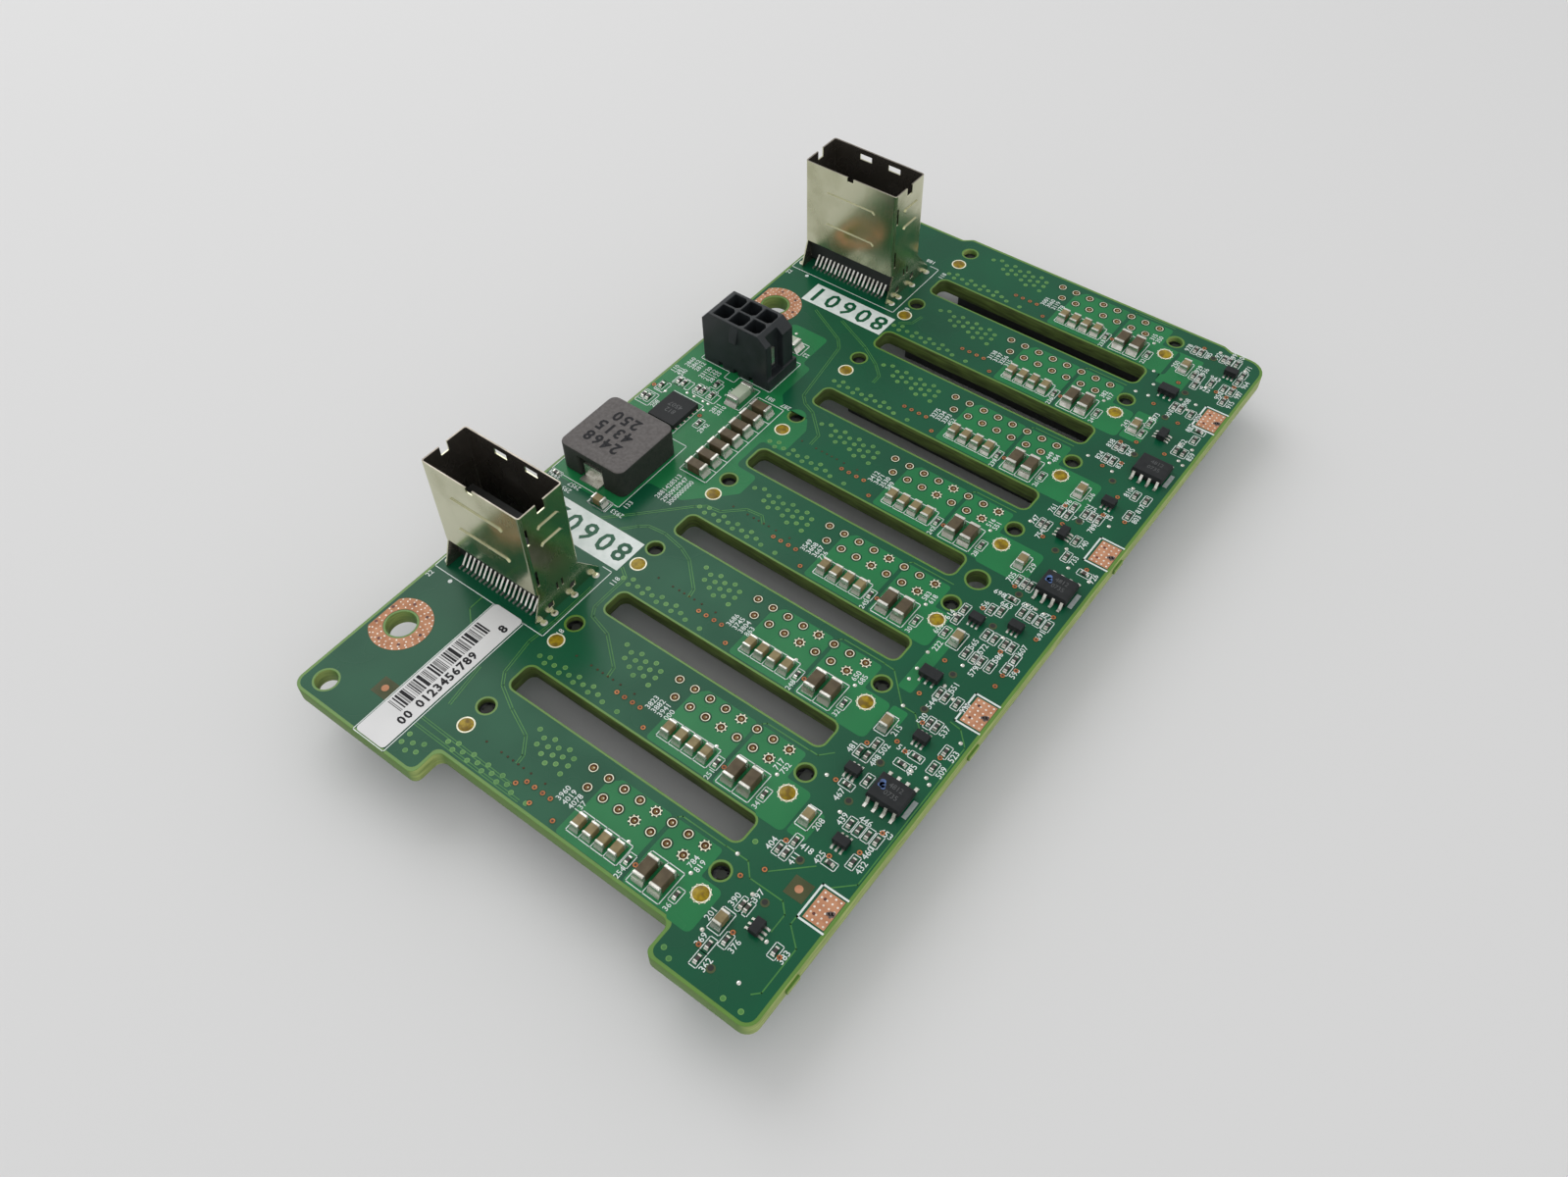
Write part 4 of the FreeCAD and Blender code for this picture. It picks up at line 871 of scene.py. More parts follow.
@dataclass
class Board:
    """Laminate with its mask, planes and pours."""

    bays: Bays
    half_width: float = 38.0
    half_length: float = 66.1
    rim: float = 0.45
    mount_x: float = -33.7
    mounts: tuple[float, ...] = (31.9, -50.6)
    mount_radius: float = 2.1
    land_left: float = -37.1
    land_radius: float = 4.4
    land_start: float = 0.35
    dot_rings: tuple[tuple[float, int], ...] = ((2.75, 18), (3.3, 22), (3.8, 25), (4.2, 28))
    land_dot: float = 0.13
    land_via_ring: float = 3.5
    land_via: float = 0.24
    pad_left: float = 34.5
    pad_right: float = 37.5
    pad_half: float = 2.15
    pad_dots: tuple[int, int] = (4, 6)
    pad_dot: float = 0.15
    pad_via: float = 0.2
    smudges: tuple[Point, ...] = ((0.0, 0.0), (0.35, 0.15), (-0.3, -0.2), (0.2, -0.35), (0.5, -0.1))
    fiducials: tuple[Point, ...] = ((-27.5, -59.0), (32.2, -49.5))
    fiducial_radius: float = 0.52
    fiducial_window: float = 1.35
    guides: tuple[Point, ...] = ((24.2, 1.95), (-34.7, -62.7))
    guide_radius: float = 1.55
    peg_radius: float = 1.15
    light_holes: tuple[float, ...] = (-0.1, -9.9)
    light_x: float = 30.1
    light_radius: float = 0.56
    light_dark: float = 0.36
    peg_inside: float = 0.1
    peg_high: float = -0.8
    hollow_radius: float = 0.62
    stubs: tuple[tuple[int, float], ...] = ((-1, -35.6), (-1, 46.0), (1, -58.6), (1, -21.2), (1, 16.3))
    stub_in: float = 0.05
    stub_out: float = 0.35
    stub_long: float = 2.4
    stub_heights: Point = (-1.6, -0.8)
    pour_rights: tuple[float, ...] = (25.6, 26.0, 29.6, 29.6, 24.9, 26.4, 26.1, 25.5)
    patches: tuple[Edges, ...] = (
        (26.6, 28.9, -24.9, -21.9), (26.4, 29.1, -44.4, -40.0), (25.3, 27.4, -19.2, -6.7),
        (26.2, 29.6, 38.2, 44.8), (25.0, 29.4, 52.2, 60.6))
    power_pour: tuple[Point, ...] = (
        (-37.5, -17.9), (-24.2, -17.9), (-24.2, -11.0), (-18.0, -11.0), (-14.0, -7.1), (-11.9, -4.9),
        (-11.9, -0.8), (-16.0, -0.7), (-16.0, 5.6), (-11.9, 5.6), (-11.9, 11.2), (-13.3, 13.4),
        (-17.9, 13.4), (-19.6, 15.4), (-19.6, 22.9), (-21.4, 22.9), (-21.4, 30.0), (-28.4, 30.0),
        (-28.4, 23.5), (-37.5, 23.5))

    def outline(self, inset: float) -> list[Point]:
        """The board's edge, moved inwards by an inset."""
        right, far, bays = self.half_width - inset, self.half_length, self.bays
        notch = bays.lines()[-1] - bays.slot_back + inset
        left_leg, right_leg = bays.slot_left - inset, bays.slot_right + inset
        near = -far + inset
        return rounded([
            (-right, near + 0.3, 1.8 - inset), (left_leg, near + 0.3, 1.1), (left_leg, notch, 1.1),
            (right_leg, notch, 1.1), (right_leg, near, 1.1), (right, near, 1.8 - inset),
            (right, far - 0.6 - inset, 3.0 - inset), (31.7, far - 0.6 - inset, 0.8),
            (30.3, far - inset, 0.8), (-16.6, far - inset, 0.8), (-18.0, far - 1.1 - inset, 0.8),
            (-right, far - 1.1 - inset, 1.8 - inset),
        ])

    def holes(self, out: float) -> list[list[Point]]:
        """Outlines of all the holes, made larger by a margin."""
        loops = [box_outline(l - out, r + out, n - out, f + out, self.bays.slot_radius + out)
                 for l, r, n, f in self.bays.slots()]
        loops += [circle(x, y, self.peg_radius + out, 24) for x, y in self.bays.pegs()]
        loops += [circle(self.mount_x, y, self.mount_radius + out, 40) for y in self.mounts]
        loops += [circle(x, y, self.guide_radius + out) for x, y in self.guides]
        return loops

    def light_pipes(self) -> Iterator[Point]:
        """Places of the small plain holes beside the bays."""
        for y in self.bays.lines():
            for back in self.light_holes:
                yield self.light_x, y + back

    def body(self) -> None:
        """Laminate and the dark mask over its copper plane."""
        loops = [self.outline(0.0)] + self.holes(0.0)
        body = plate("board_laminate", loops, TOP - BOARD_T, BOARD_T, Ink.LAMINATE, 0.06)
        adopt(body, LAMINATE, ["circuit_board"])
        loops = [self.outline(self.rim)] + self.holes(self.rim * 0.7)
        adopt(plate("mask_plane", loops, TOP + Layer.PLANE.value, 0.0, Ink.MASK), LAMINATE)
        under = plate("mask_plane_below", loops, TOP - BOARD_T - Layer.PLANE.value, 0.0, Ink.MASK)
        under.data.flip_normals()
        adopt(under, LAMINATE)

    def panel_stubs(self) -> None:
        """Stubs on the long edges, where the board was snapped off its panel."""
        art = Art("panel_stubs")
        low, high = self.stub_heights
        for side, y in self.stubs:
            ends = (self.half_width - self.stub_in, self.half_width + self.stub_out)
            inner, outer = sorted(side * end for end in ends)
            near, far = y - self.stub_long / 2.0, y + self.stub_long / 2.0
            art.solid(Vector((inner, near, low)), Vector((outer, far, high)))
        art.softened(0.06)
        art.done(Ink.LAMINATE)

    def pours(self) -> None:
        """Lighter areas where copper lies just under the mask."""
        loops = []
        for y, right in zip(self.bays.lines(), self.pour_rights):
            edge = y - self.bays.slot_back + 0.5
            loops.append(rounded([
                (4.4, edge, 0.5), (14.45, edge, 0.5), (14.45, y + 2.3, 0.6), (6.3, y + 2.3, 0.4),
                (4.9, y + 0.9, 0.4), (4.9, y - 3.0, 0.2), (4.4, y - 3.6, 0.2)], 3))
            loops.append(rounded([
                (15.05, edge, 0.5), (21.9, edge, 0.3), (22.3, edge - 0.4, 0.3), (right, edge - 0.4, 0.8),
                (right, y - 1.9, 0.8), (22.1, y - 1.9, 0.3), (22.1, y + 2.3, 0.5),
                (15.05, y + 2.3, 0.5)], 3))
        loops += [box_outline(*corners, 0.4) for corners in self.patches]
        loops.append(rounded([(x, y, 0.8) for x, y in self.power_pour], 3))
        loops += [circle(self.bays.slot_left + 0.1, self.bays.lines()[i], 1.5) for i in (3, 4)]
        adopt(plate("copper_pours", loops, TOP + Layer.POUR.value, 0.0, Ink.POUR), LAMINATE)

    def mount_land(self, y: float, copper: Art, dots: Art, vias: Art) -> None:
        """Copper ring round a mounting hole, with its solder dots and vias.

        Args:
            y: the hole's place along Y.
            copper: mesh for the ring.
            dots: mesh for the solder dots.
            vias: mesh for the vias.
        """
        copper.ring(self.mount_x, y, self.land_radius, self.mount_radius + self.land_start, 56)
        for radius, total in self.dot_rings:
            for dot_x, dot_y in circle(self.mount_x, y, radius, total, radius * 7.0 % 1.0):
                if dot_x > self.land_left + 0.15:
                    dots.disc(dot_x, dot_y, self.land_dot, 6)
        for via_x, via_y in circle(self.mount_x, y, self.land_via_ring, 7, 0.064):
            vias.disc(max(via_x, self.land_left + 0.35), via_y, self.land_via, 10)

    def edge_pad(self, y: float, copper: Art, dots: Art, vias: Art) -> None:
        """Copper pad at the right edge, with its solder dots and vias.

        Args:
            y: the pad's middle along Y.
            copper: mesh for the pad.
            dots: mesh for the solder dots.
            vias: mesh for the vias.
        """
        copper.rect(self.pad_left, self.pad_right, y - self.pad_half, y + self.pad_half)
        for i in range(self.pad_dots[0]):
            for j in range(self.pad_dots[1]):
                dots.disc(self.pad_left + 0.4 + 0.75 * i, y - 1.8 + 0.72 * j, self.pad_dot, 6)
        for side in (-1.1, 1.1):
            vias.disc(self.pad_left + 0.85, y + side, self.pad_via, 10)

    def lands(self) -> None:
        """Bare copper round the mounting holes, at the right edge and in the fiducials."""
        copper = Art("bare_copper", Layer.LAND)
        dots = Art("land_dots", Layer.HOLE)
        vias = Art("land_vias", Layer.DOT)
        smudge = Art("land_smudges", Layer.SHINE)
        bare = Art("fiducial_windows", Layer.TENTED)
        for y in self.mounts:
            self.mount_land(y, copper, dots, vias)
        for vert in copper.mesh.verts:
            vert.co.x = max(vert.co.x, self.land_left * MM)
        for y in EDGE_PADS:
            self.edge_pad(y, copper, dots, vias)
            for i, (dx, dy) in enumerate(self.smudges):
                smudge.disc(self.pad_right - 0.6 + dx * 0.8, y + dy, 0.3 - 0.03 * i, 9)
        for x, y in self.fiducials:
            copper.disc(x, y, self.fiducial_radius, 20)
            bare.rect(x - self.fiducial_window, x + self.fiducial_window,
                      y - self.fiducial_window, y + self.fiducial_window)
        bare.done(Ink.BARE)
        smudge.done(Ink.SMUDGE)
        copper.done(Ink.COPPER)
        dots.done(Ink.LAND_DOT)
        vias.done(Ink.VIA_DARK)

    def small_holes(self) -> None:
        """Small plain holes drawn as discs in painted shade, and the peg tops below the surface with their
        hollows in painted shade.
        """
        olive, dark = Art("plain_holes", Layer.LAND), Art("plain_hole_shade", Layer.HOLE)
        for x, y in self.light_pipes():
            # Each plain hole is an olive disc, its glass fibre wall darkened by painted shade, with a near
            # black disc off its middle as the painted shade deeper down.
            olive.disc(x, y, self.light_radius, 18)
            dark.disc(x - 0.06, y + 0.06, self.light_dark, 14)
        olive.done(Ink.OLIVE_HOLE)
        dark.done(Ink.DARK_HOLE)
        pegs, hollows = Art("peg_tops"), Art("peg_hollows")
        for x, y in self.bays.pegs():
            pegs.cone(x, y, self.peg_inside - BOARD_T, self.peg_high, self.peg_radius - 0.05, sides=20)
            # The peg's hollow is a near black cylinder: painted shade in the recess.
            hollows.cone(x + 0.12, y, self.peg_high - 0.15, self.peg_high + 0.01, self.hollow_radius)
        pegs.done(Ink.PEG, "connector_plastic")
        hollows.done(Ink.DARK_HOLE, "connector_plastic")

    def build(self) -> None:
        """Makes every piece of the board."""
        self.body()
        self.panel_stubs()
        self.pours()
        self.lands()
        self.small_holes()


# ---- vias and traces -------------------------------------------------------------------------
@dataclass
class Copperwork:
    """Plated holes, vias and traces on the top face."""

    bays: Bays
    open_in_bay: tuple[Point, ...] = (
        (-3.0, -4.95), (-1.7, -4.95), (-0.35, -4.95), (0.95, -4.95), (3.25, -7.0), (15.05, -5.4))
    tinned_in_bay: tuple[Point, ...] = ((12.4, -3.6), (20.9, -2.3))
    open_vias: tuple[Point, ...] = (
        (27.9, 63.7), (35.6, 58.1), (33.8, 55.5), (35.6, 55.3), (28.2, 54.0), (27.3, 47.5), (32.2, 45.8),
        (29.1, 38.5), (33.6, 38.7), (27.2, 37.2), (29.4, 33.3), (27.4, 31.2), (32.2, 26.9), (32.2, 22.6),
        (27.0, 21.0), (28.4, 17.7), (35.3, 23.2), (27.4, 14.0), (35.3, 12.3), (28.9, 3.9), (35.8, 2.4),
        (27.4, -1.9), (35.8, -2.2), (33.1, -6.7), (36.3, -8.1), (35.3, -9.8), (35.4, -11.8), (28.0, -12.2),
        (28.2, -18.5), (31.0, -22.0), (35.6, -25.0), (30.0, -26.2), (31.6, -26.8), (27.1, -28.6),
        (27.1, -35.2), (35.8, -37.8), (35.1, -41.5), (32.5, -44.0), (27.2, -45.4), (27.5, -49.9),
        (25.7, -52.2), (35.4, -57.4), (29.4, -58.2), (27.2, -61.6), (-4.0, -59.0), (-0.7, -60.0),
        (-37.2, 5.4), (-27.0, 4.2))
    tinned_vias: tuple[Point, ...] = (
        (30.4, 64.3), (35.4, 62.6), (36.7, 56.9), (32.1, 55.6), (23.9, 54.2), (25.3, 51.4), (30.2, 50.8),
        (32.6, 51.1), (23.8, 48.4), (25.8, 48.7), (32.1, 49.3), (28.4, 44.4), (34.5, 41.9), (36.5, 41.9),
        (35.9, 38.7), (36.8, 38.2), (29.1, 31.0), (24.7, 31.8), (33.2, 29.8), (33.9, 21.2), (24.5, 15.5),
        (31.2, 14.0), (33.1, 11.1), (36.6, 10.6), (31.9, 2.2), (33.2, 2.2), (34.5, 2.2), (32.2, -4.5),
        (25.0, -5.0), (25.5, -12.4), (30.3, -11.5), (25.8, -15.4), (25.9, -17.4), (30.2, -15.6),
        (32.2, -16.7), (36.5, -21.7), (27.6, -21.3), (33.8, -28.7), (35.8, -28.4), (36.6, -29.0),
        (30.1, -38.5), (25.8, -35.3), (23.7, -50.2), (28.3, -53.2), (33.1, -56.8), (26.4, -60.0),
        (33.6, -62.4), (-31.8, 7.0), (-30.4, 7.0), (-28.6, 7.0), (-27.6, 7.0), (-34.8, 5.3), (-27.3, 5.5),
        (-26.5, 28.2))
    tented_rows: tuple[tuple[float, tuple[float, ...]], ...] = (
        (1.55, (-7.0, -4.4, -1.9)), (0.9, (-5.7, -3.2, -0.6)), (0.25, (-4.4, -1.9)),
        (-0.3, (-5.8, -3.1, -0.5)), (-1.0, (-4.4, -1.9)), (-1.7, (-3.1, -0.5)),
        (-6.1, (-13.7, -11.0, -8.5, -6.0)), (-6.7, (-15.0, -12.4, -9.8, -7.3, -4.7)),
        (-7.2, (-13.7, -11.1, -8.6, -6.0, -3.5, -1.0)))
    pin_clear: float = 0.82
    pin_ring: Point = (0.61, 0.49)
    pin_fill: float = 0.5
    pin_end: float = 0.27
    pin_shine: float = 0.075
    spoked_pins: tuple[int, ...] = (7, 8, 13, 14)
    spoked_from: int = 4
    spoke_ring: float = 0.7
    spoke_dot: float = 0.11
    more_tented: tuple[Point, ...] = (
        (-8.3, 0.9), (-9.6, 1.55), (-7.0, 0.25), (-8.3, -0.3), (-10.9, 0.9), (-7.0, -1.0))
    near_tented: tuple[Point, ...] = (
        (24.4, -47.7), (24.3, -64.2), (25.6, -64.9), (33.3, -64.8), (35.8, -64.8), (-19.7, -61.9),
        (-19.7, -63.3), (-18.4, -62.6), (-18.4, -63.9), (-17.1, -61.9), (-17.1, -63.3))
    brown_row: tuple[float, ...] = (-11.1, -8.5, -7.4, -6.5, -5.6, -4.7, -3.4, -1.0)
    brown_back: float = -3.8
    hold_down_radius: float = 1.22
    hold_down_width: float = 0.2
    hold_down_fill: float = 1.06
    tinned_radius: float = 0.29
    tented_radius: float = 0.36
    tented_top: float = 0.27
    brown_radius: float = 0.16
    brown_middle: float = 0.09
    pair_gap: float = 0.17
    single_width: float = 0.17
    bay_single: tuple[Point, ...] = ((14.9, 1.9), (14.95, 2.4), (15.4, 2.85), (22.0, 2.85))
    pairs: tuple[tuple[Point, ...], ...] = (
        ((-27.5, 34.8), (-20.3, 31.1), (-18.9, 29.4), (-16.9, 17.2), (-15.6, 15.9), (-13.5, 15.0),
         (-9.8, 11.5), (-9.7, 9.3)),
        ((-22.4, 35.1), (-15.6, 32.0), (-12.0, 29.7), (-10.0, 27.8), (-9.9, 26.0)),
        ((-14.7, 40.1), (-12.9, 41.4), (-12.5, 43.6)),
        ((-25.0, -20.4), (-21.4, -16.8), (-15.6, -10.7), (-14.2, -9.6), (-12.0, -9.3), (-9.2, -6.7),
         (-6.7, -6.4), (-5.6, -7.5)),
        ((-21.4, -20.4), (-19.6, -18.4), (-18.5, -17.5), (-15.6, -17.2), (-12.0, -17.9), (-9.8, -18.9),
         (-5.9, -22.6), (-5.6, -24.0)),
        ((-16.4, -25.5), (-14.75, -26.6), (-14.75, -32.9), (-13.9, -34.3), (-10.3, -35.3), (-5.9, -38.9),
         (-5.6, -40.4)),
        ((-17.4, -30.7), (-17.4, -37.9), (-17.8, -42.5), (-16.9, -47.9), (-15.6, -49.6), (-12.0, -51.5),
         (-7.8, -53.3), (-6.0, -55.6), (-5.8, -56.9)),
        ((-20.1, -49.3), (-19.0, -55.7)),
        ((-20.3, -59.2), (-4.2, -59.5)), ((-20.3, -60.4), (-2.0, -60.6)),
    )
    singles: tuple[tuple[Point, ...], ...] = (
        ((-28.2, -40.7), (-28.2, -43.2), (-26.0, -45.1)),
        ((22.0, -50.2), (25.3, -50.2), (26.8, -51.8), (31.6, -51.8), (32.8, -53.0), (32.8, -55.5)),
        ((34.0, -52.5), (34.0, -53.5), (36.3, -55.5), (36.3, -61.8), (35.5, -62.6)),
        ((27.8, -50.0), (32.0, -46.0)),
        ((22.0, -17.3), (23.6, -17.4), (27.5, -21.4), (29.5, -21.4), (31.1, -22.9)),
        ((22.0, -33.7), (23.3, -33.7), (24.7, -32.2)), ((33.8, -19.8), (35.4, -20.0), (37.3, -22.0)),
        ((37.3, -22.0), (37.3, -45.0), (35.0, -47.2)),
    )

    def pin_holes(self) -> None:
        """Rings of the power pins with their clearance, filled holes, pin ends and a painted highlight on
        each.
        """
        clear = Art("pin_clearance", Layer.TENTED)
        rings = Art("pin_rings", Layer.LAND)
        fills = Art("pin_fills", Layer.HOLE)
        ends = Art("pin_ends", Layer.DOT)
        painted_highlight = Art("pin_shine", Layer.SHINE)
        for bay, y in enumerate(self.bays.lines(), 1):
            for number, x, row in self.bays.pin_holes(y):
                clear.disc(x, row, self.pin_clear, 20)
                rings.ring(x, row, *self.pin_ring)
                fills.disc(x, row, self.pin_fill, 16)
                ends.disc(x + 0.03, row - 0.04, self.pin_end, 10)
                # A small bright tin disc off the middle of each pin end: a painted highlight.
                painted_highlight.disc(x + 0.1, row + 0.03, self.pin_shine, 8)
                if bay >= self.spoked_from and number in self.spoked_pins:
                    for spoke_x, spoke_y in circle(x, row, self.spoke_ring, 8):
                        rings.disc(spoke_x, spoke_y, self.spoke_dot, 6)
        clear.done(Ink.CLEAR)
        rings.done(Ink.PIN_RING, TINNED)
        fills.done(Ink.PIN_HOLE, TINNED)
        ends.done(Ink.PIN_END, TINNED)
        painted_highlight.done(Ink.TIN, TINNED)

    def hold_downs(self) -> None:
        """Amber solder over the hold-downs, each in its tinned ring."""
        rings = Art("hold_down_rings", Layer.LAND)
        fills = Art("hold_down_fills")
        for x, y in self.bays.hold_downs():
            rings.ring(x, y, self.hold_down_radius, self.hold_down_radius - self.hold_down_width, 28)
            if x > 0.0:
                for bump_x, bump_y in circle(x, y, self.hold_down_radius, 12):
                    rings.disc(bump_x, bump_y, 0.12, 6)
            fills.dome(x, y, self.hold_down_fill, 0.12)
        rings.done(Ink.PIN_RING, TINNED)
        fills.done(Ink.AMBER, TINNED, ["drive_hold_downs"])

    def brown_places(self) -> list[Point]:
        """Places of the fine brown vias, which the first three bays don't have."""
        return self.bays.repeated([(x, self.brown_back) for x in self.brown_row], slice(3, None))

    def open_ones(self) -> None:
        """Open vias in their clearance, and the middles of the brown ones too."""
        clear = Art("via_clearance", Layer.TENTED)
        rims = Art("open_vias", Layer.LAND)
        middles = Art("via_middles", Layer.HOLE)
        for x, y in [*self.bays.repeated(self.open_in_bay), *self.open_vias]:
            clear.disc(x, y, VIA_CLEAR)
            rims.disc(x, y, VIA_RIM)
            middles.disc(x, y, VIA_HOLE, 10)
        for x, y in self.brown_places():
            middles.disc(x, y, self.brown_middle, 6)
        clear.done(Ink.CLEAR)
        rims.done(Ink.VIA_RIM)
        middles.done(Ink.HOLE)

    def closed_ones(self) -> None:
        """Tinned vias, vias tented by the mask, and the fine brown ones."""
        brown = Art("brown_vias", Layer.LAND)
        tinned = Art("tinned_vias", Layer.LAND)
        tented, tops = Art("tented_vias", Layer.TENTED), Art("tented_tops", Layer.SILK)
        for x, y in [*self.tinned_vias, *self.bays.repeated(self.tinned_in_bay)]:
            tinned.dome(x, y, self.tinned_radius, 0.1, 10)
        rows = [(x, back) for back, columns in self.tented_rows for x in columns]
        more = self.bays.repeated(self.more_tented, slice(5))
        for x, y in [*self.bays.repeated(rows), *more, *self.near_tented]:
            tented.disc(x, y, self.tented_radius)
            tops.disc(x, y, self.tented_top, 10)
        for x, y in self.brown_places():
            brown.disc(x, y, self.brown_radius, 8)
        tinned.done(Ink.TIN, TINNED)
        tented.done(Ink.TENTED_RIM)
        tops.done(Ink.TENTED)
        brown.done(Ink.PIN_HOLE)

    def traces(self) -> None:
        """Pairs and single traces under the mask."""
        art = Art("traces", Layer.TRACE)
        for points in self.pairs:
            art.stroke(points, shift=self.pair_gap)
            art.stroke(points, shift=-self.pair_gap)
        in_bays = [[(x, y + back) for x, back in self.bay_single] for y in self.bays.lines()]
        for points in [*self.singles, *in_bays]:
            art.stroke(points, self.single_width)
        art.done(Ink.TRACE)

    def build(self) -> None:
        """Makes the copperwork."""
        self.pin_holes()
        self.hold_downs()
        self.open_ones()
        self.closed_ones()
        self.traces()


# ---- print -----------------------------------------------------------------------------------
@dataclass(frozen=True)
class Ports:
    """Where the two cable ports are, and the feet of their cages."""

    x: float = -27.55
    ys: Point = (47.8, -34.7)
    length: float = 17.4
    depth: float = 8.0
    foot_out: float = 0.48
    foot_backs: tuple[float, ...] = (-4.3, -2.25, 1.7, 6.0)

    def feet(self, y: float) -> list[Point]:
        """Places of the soldered feet of the cage at a place along Y."""
        reach = self.length / 2.0 + self.foot_out
        return [(self.x + side * reach, y + back) for side in (-1.0, 1.0) for back in self.foot_backs]


@dataclass
class Print:
    """White print: boxes round parts, plain numbers and the boxes of the ports."""

    bays: Bays
    ports: Ports
    art: Art = field(default_factory=lambda: Art("white_print", Layer.SILK))
    taken: list[Edges] = field(default_factory=list)
    numbers: Iterator[int] = field(default_factory=lambda: count(101, 7))
    power_numbers: tuple[tuple[str, float, float, int], ...] = (
        ("2860", -36.0, 12.8, 1), ("2862", -35.0, 12.8, 1), ("2812", -34.0, 12.8, 1),
        ("23130", -32.5, 12.3, 1), ("21122", -31.5, 12.3, 1), ("28125", -30.6, 12.3, 1),
        ("110", -37.0, 10.2, 1), ("281", -36.1, 10.2, 1), ("240", -35.3, 10.2, 1),
        ("2451", -26.4, 11.0, 1), ("2811", -26.1, 6.9, 1), ("2810", -25.1, 6.9, 1),
        ("2942", -24.8, 2.4, 1), ("208", -34.3, 2.2, 1), ("881", -20.6, 13.5, 2),
        ("287", -17.5, 13.5, 2), ("133", -23.5, -16.2, 1), ("2953", -23.7, -18.4, 2),
        ("2957", -32.3, -18.1, 2), ("295", -32.8, -19.3, 2), ("2954", -36.2, -18.1, 2),
        ("22", -22.1, 24.8, 2), ("188", -19.2, 56.6, 2), ("2881428513", -21.25, -9.9, 1),
        ("2950950947", -20.1, -9.9, 1), ("3000000000", -19.0, -9.9, 1))
    bay_boxes: tuple[tuple[Edges, tuple[float, ...]], ...] = (
        ((5.25, 13.3, -6.9, -3.75), (7.25, 9.2, 11.25)), ((15.4, 20.45, -7.6, -2.8), (17.95,)))
    power_boxes: tuple[Edges, ...] = (
        (-37.5, -24.3, -17.4, -2.1), (-28.6, -25.3, -19.3, -17.3), (-25.8, -22.8, 8.6, 13.9),
        (-35.3, -32.1, 7.4, 9.3), (-31.2, -26.9, 7.4, 9.35), (-29.75, -28.1, 9.4, 11.6),
        (-36.7, -34.9, 4.7, 7.0), (-37.5, -34.9, 1.1, 4.0), (-22.3, -17.3, -6.2, 12.7),
        (-26.1, -20.45, -65.7, -40.8), (-25.6, -22.9, 24.2, 26.9))
    power_lines: tuple[tuple[Point, ...], ...] = (
        ((-33.7, 6.2), (-27.8, 6.2), (-27.8, -1.2)),
        ((-35.2, 22.7), (-35.2, 14.6), (-29.4, 14.6), (-29.4, 13.1), (-27.4, 13.1), (-27.4, 14.6),
         (-21.5, 14.6), (-21.5, 22.7), (-22.6, 22.7)))
    bank_lines: tuple[float, ...] = (9.0, 6.5, 4.0, 1.5, -1.1, -3.65)
    port_dots: tuple[Point, ...] = ((-34.0, 41.1), (-33.8, -41.5))
    port_titles: tuple[tuple[str, Edges], ...] = (
        ("80601", (-31.2, -15.6, 35.8, 40.5)), ("80602", (-32.4, -16.6, -26.4, -20.5)))
    port_line: tuple[Point, ...] = (
        (-37.6, 2.0), (-37.6, -6.05), (-16.95, -6.05), (-16.95, 7.7), (-18.6, 7.7))
    port_numbers: tuple[tuple[str, float, float], ...] = (
        ("18", 12.0, -4.2), ("118", 12.0, 6.7), ("22", -9.6, -7.5))
    pad_box: tuple[Point, ...] = ((37.6, 2.5), (34.05, 2.5), (34.05, -2.5), (37.6, -2.5))
    strip: Point = (23.6, 37.4)
    strip_end: float = 65.0
    number_high: float = 0.85
    number_gap: float = 0.5

    def reserve(self, x: float, y: float, width: float, depth: float) -> None:
        """Keeps a rectangle free of numbers."""
        self.taken.append((x - width / 2.0, x + width / 2.0, y - depth / 2.0, y + depth / 2.0))

    def keep_clear(self, block: Block, beside: float, beyond: float) -> None:
        """Keeps the place of a part free of numbers, with room along X and along Y."""
        self.reserve(block.middle.x, block.middle.y, block.size.x + beside, block.size.y + beyond)

    def free(self, x: float, y: float, width: float, depth: float) -> bool:
        """Whether a rectangle is on the right strip of the board and meets nothing."""
        x0, x1, y0, y1 = x - width / 2.0, x + width / 2.0, y - depth / 2.0, y + depth / 2.0
        if x0 < self.strip[0] or x1 > self.strip[1] or abs(y) > self.strip_end:
            return False
        return not any(x0 < b and x1 > a and y0 < d and y1 > c for a, b, c, d in self.taken)

    def number_near(self, block: Block) -> None:
        """Puts a plain number at the first free place round a part."""
        digits = str(next(self.numbers) % 900 + 100)
        height, gap = self.number_high, self.number_gap
        length = height * 0.7 * len(digits)
        out_x, out_y = block.size.x / 2.0 + gap, block.size.y / 2.0 + gap
        for turn in (1, 0):
            wide, deep = (height, length) if turn else (length, height)
            for dx, dy in ((1, 0), (-1, 0), (0, 1), (0, -1), (1, 1), (-1, -1)):
                x = block.middle.x + dx * (out_x + wide / 2.0)
                y = block.middle.y + dy * (out_y + deep / 2.0)
                if self.free(x, y, wide, deep):
                    self.art.number(digits, x, y, height, turn)
                    self.reserve(x, y, wide + 0.3, deep + 0.3)
                    return

    def round_part(self, block: Block, side: float, end: float, width: float = PRINT_LINE) -> None:
        """Box round a part.

        Args:
            block: the part's box.
            side: gap at its long sides.
            end: gap at its ends.
            width: width of the line.
        """
        across = end if block.along.x else side
        beyond = side if block.along.x else end
        self.art.frame(block.low.x - across, block.high.x + across, block.low.y - beyond,
                       block.high.y + beyond, width)

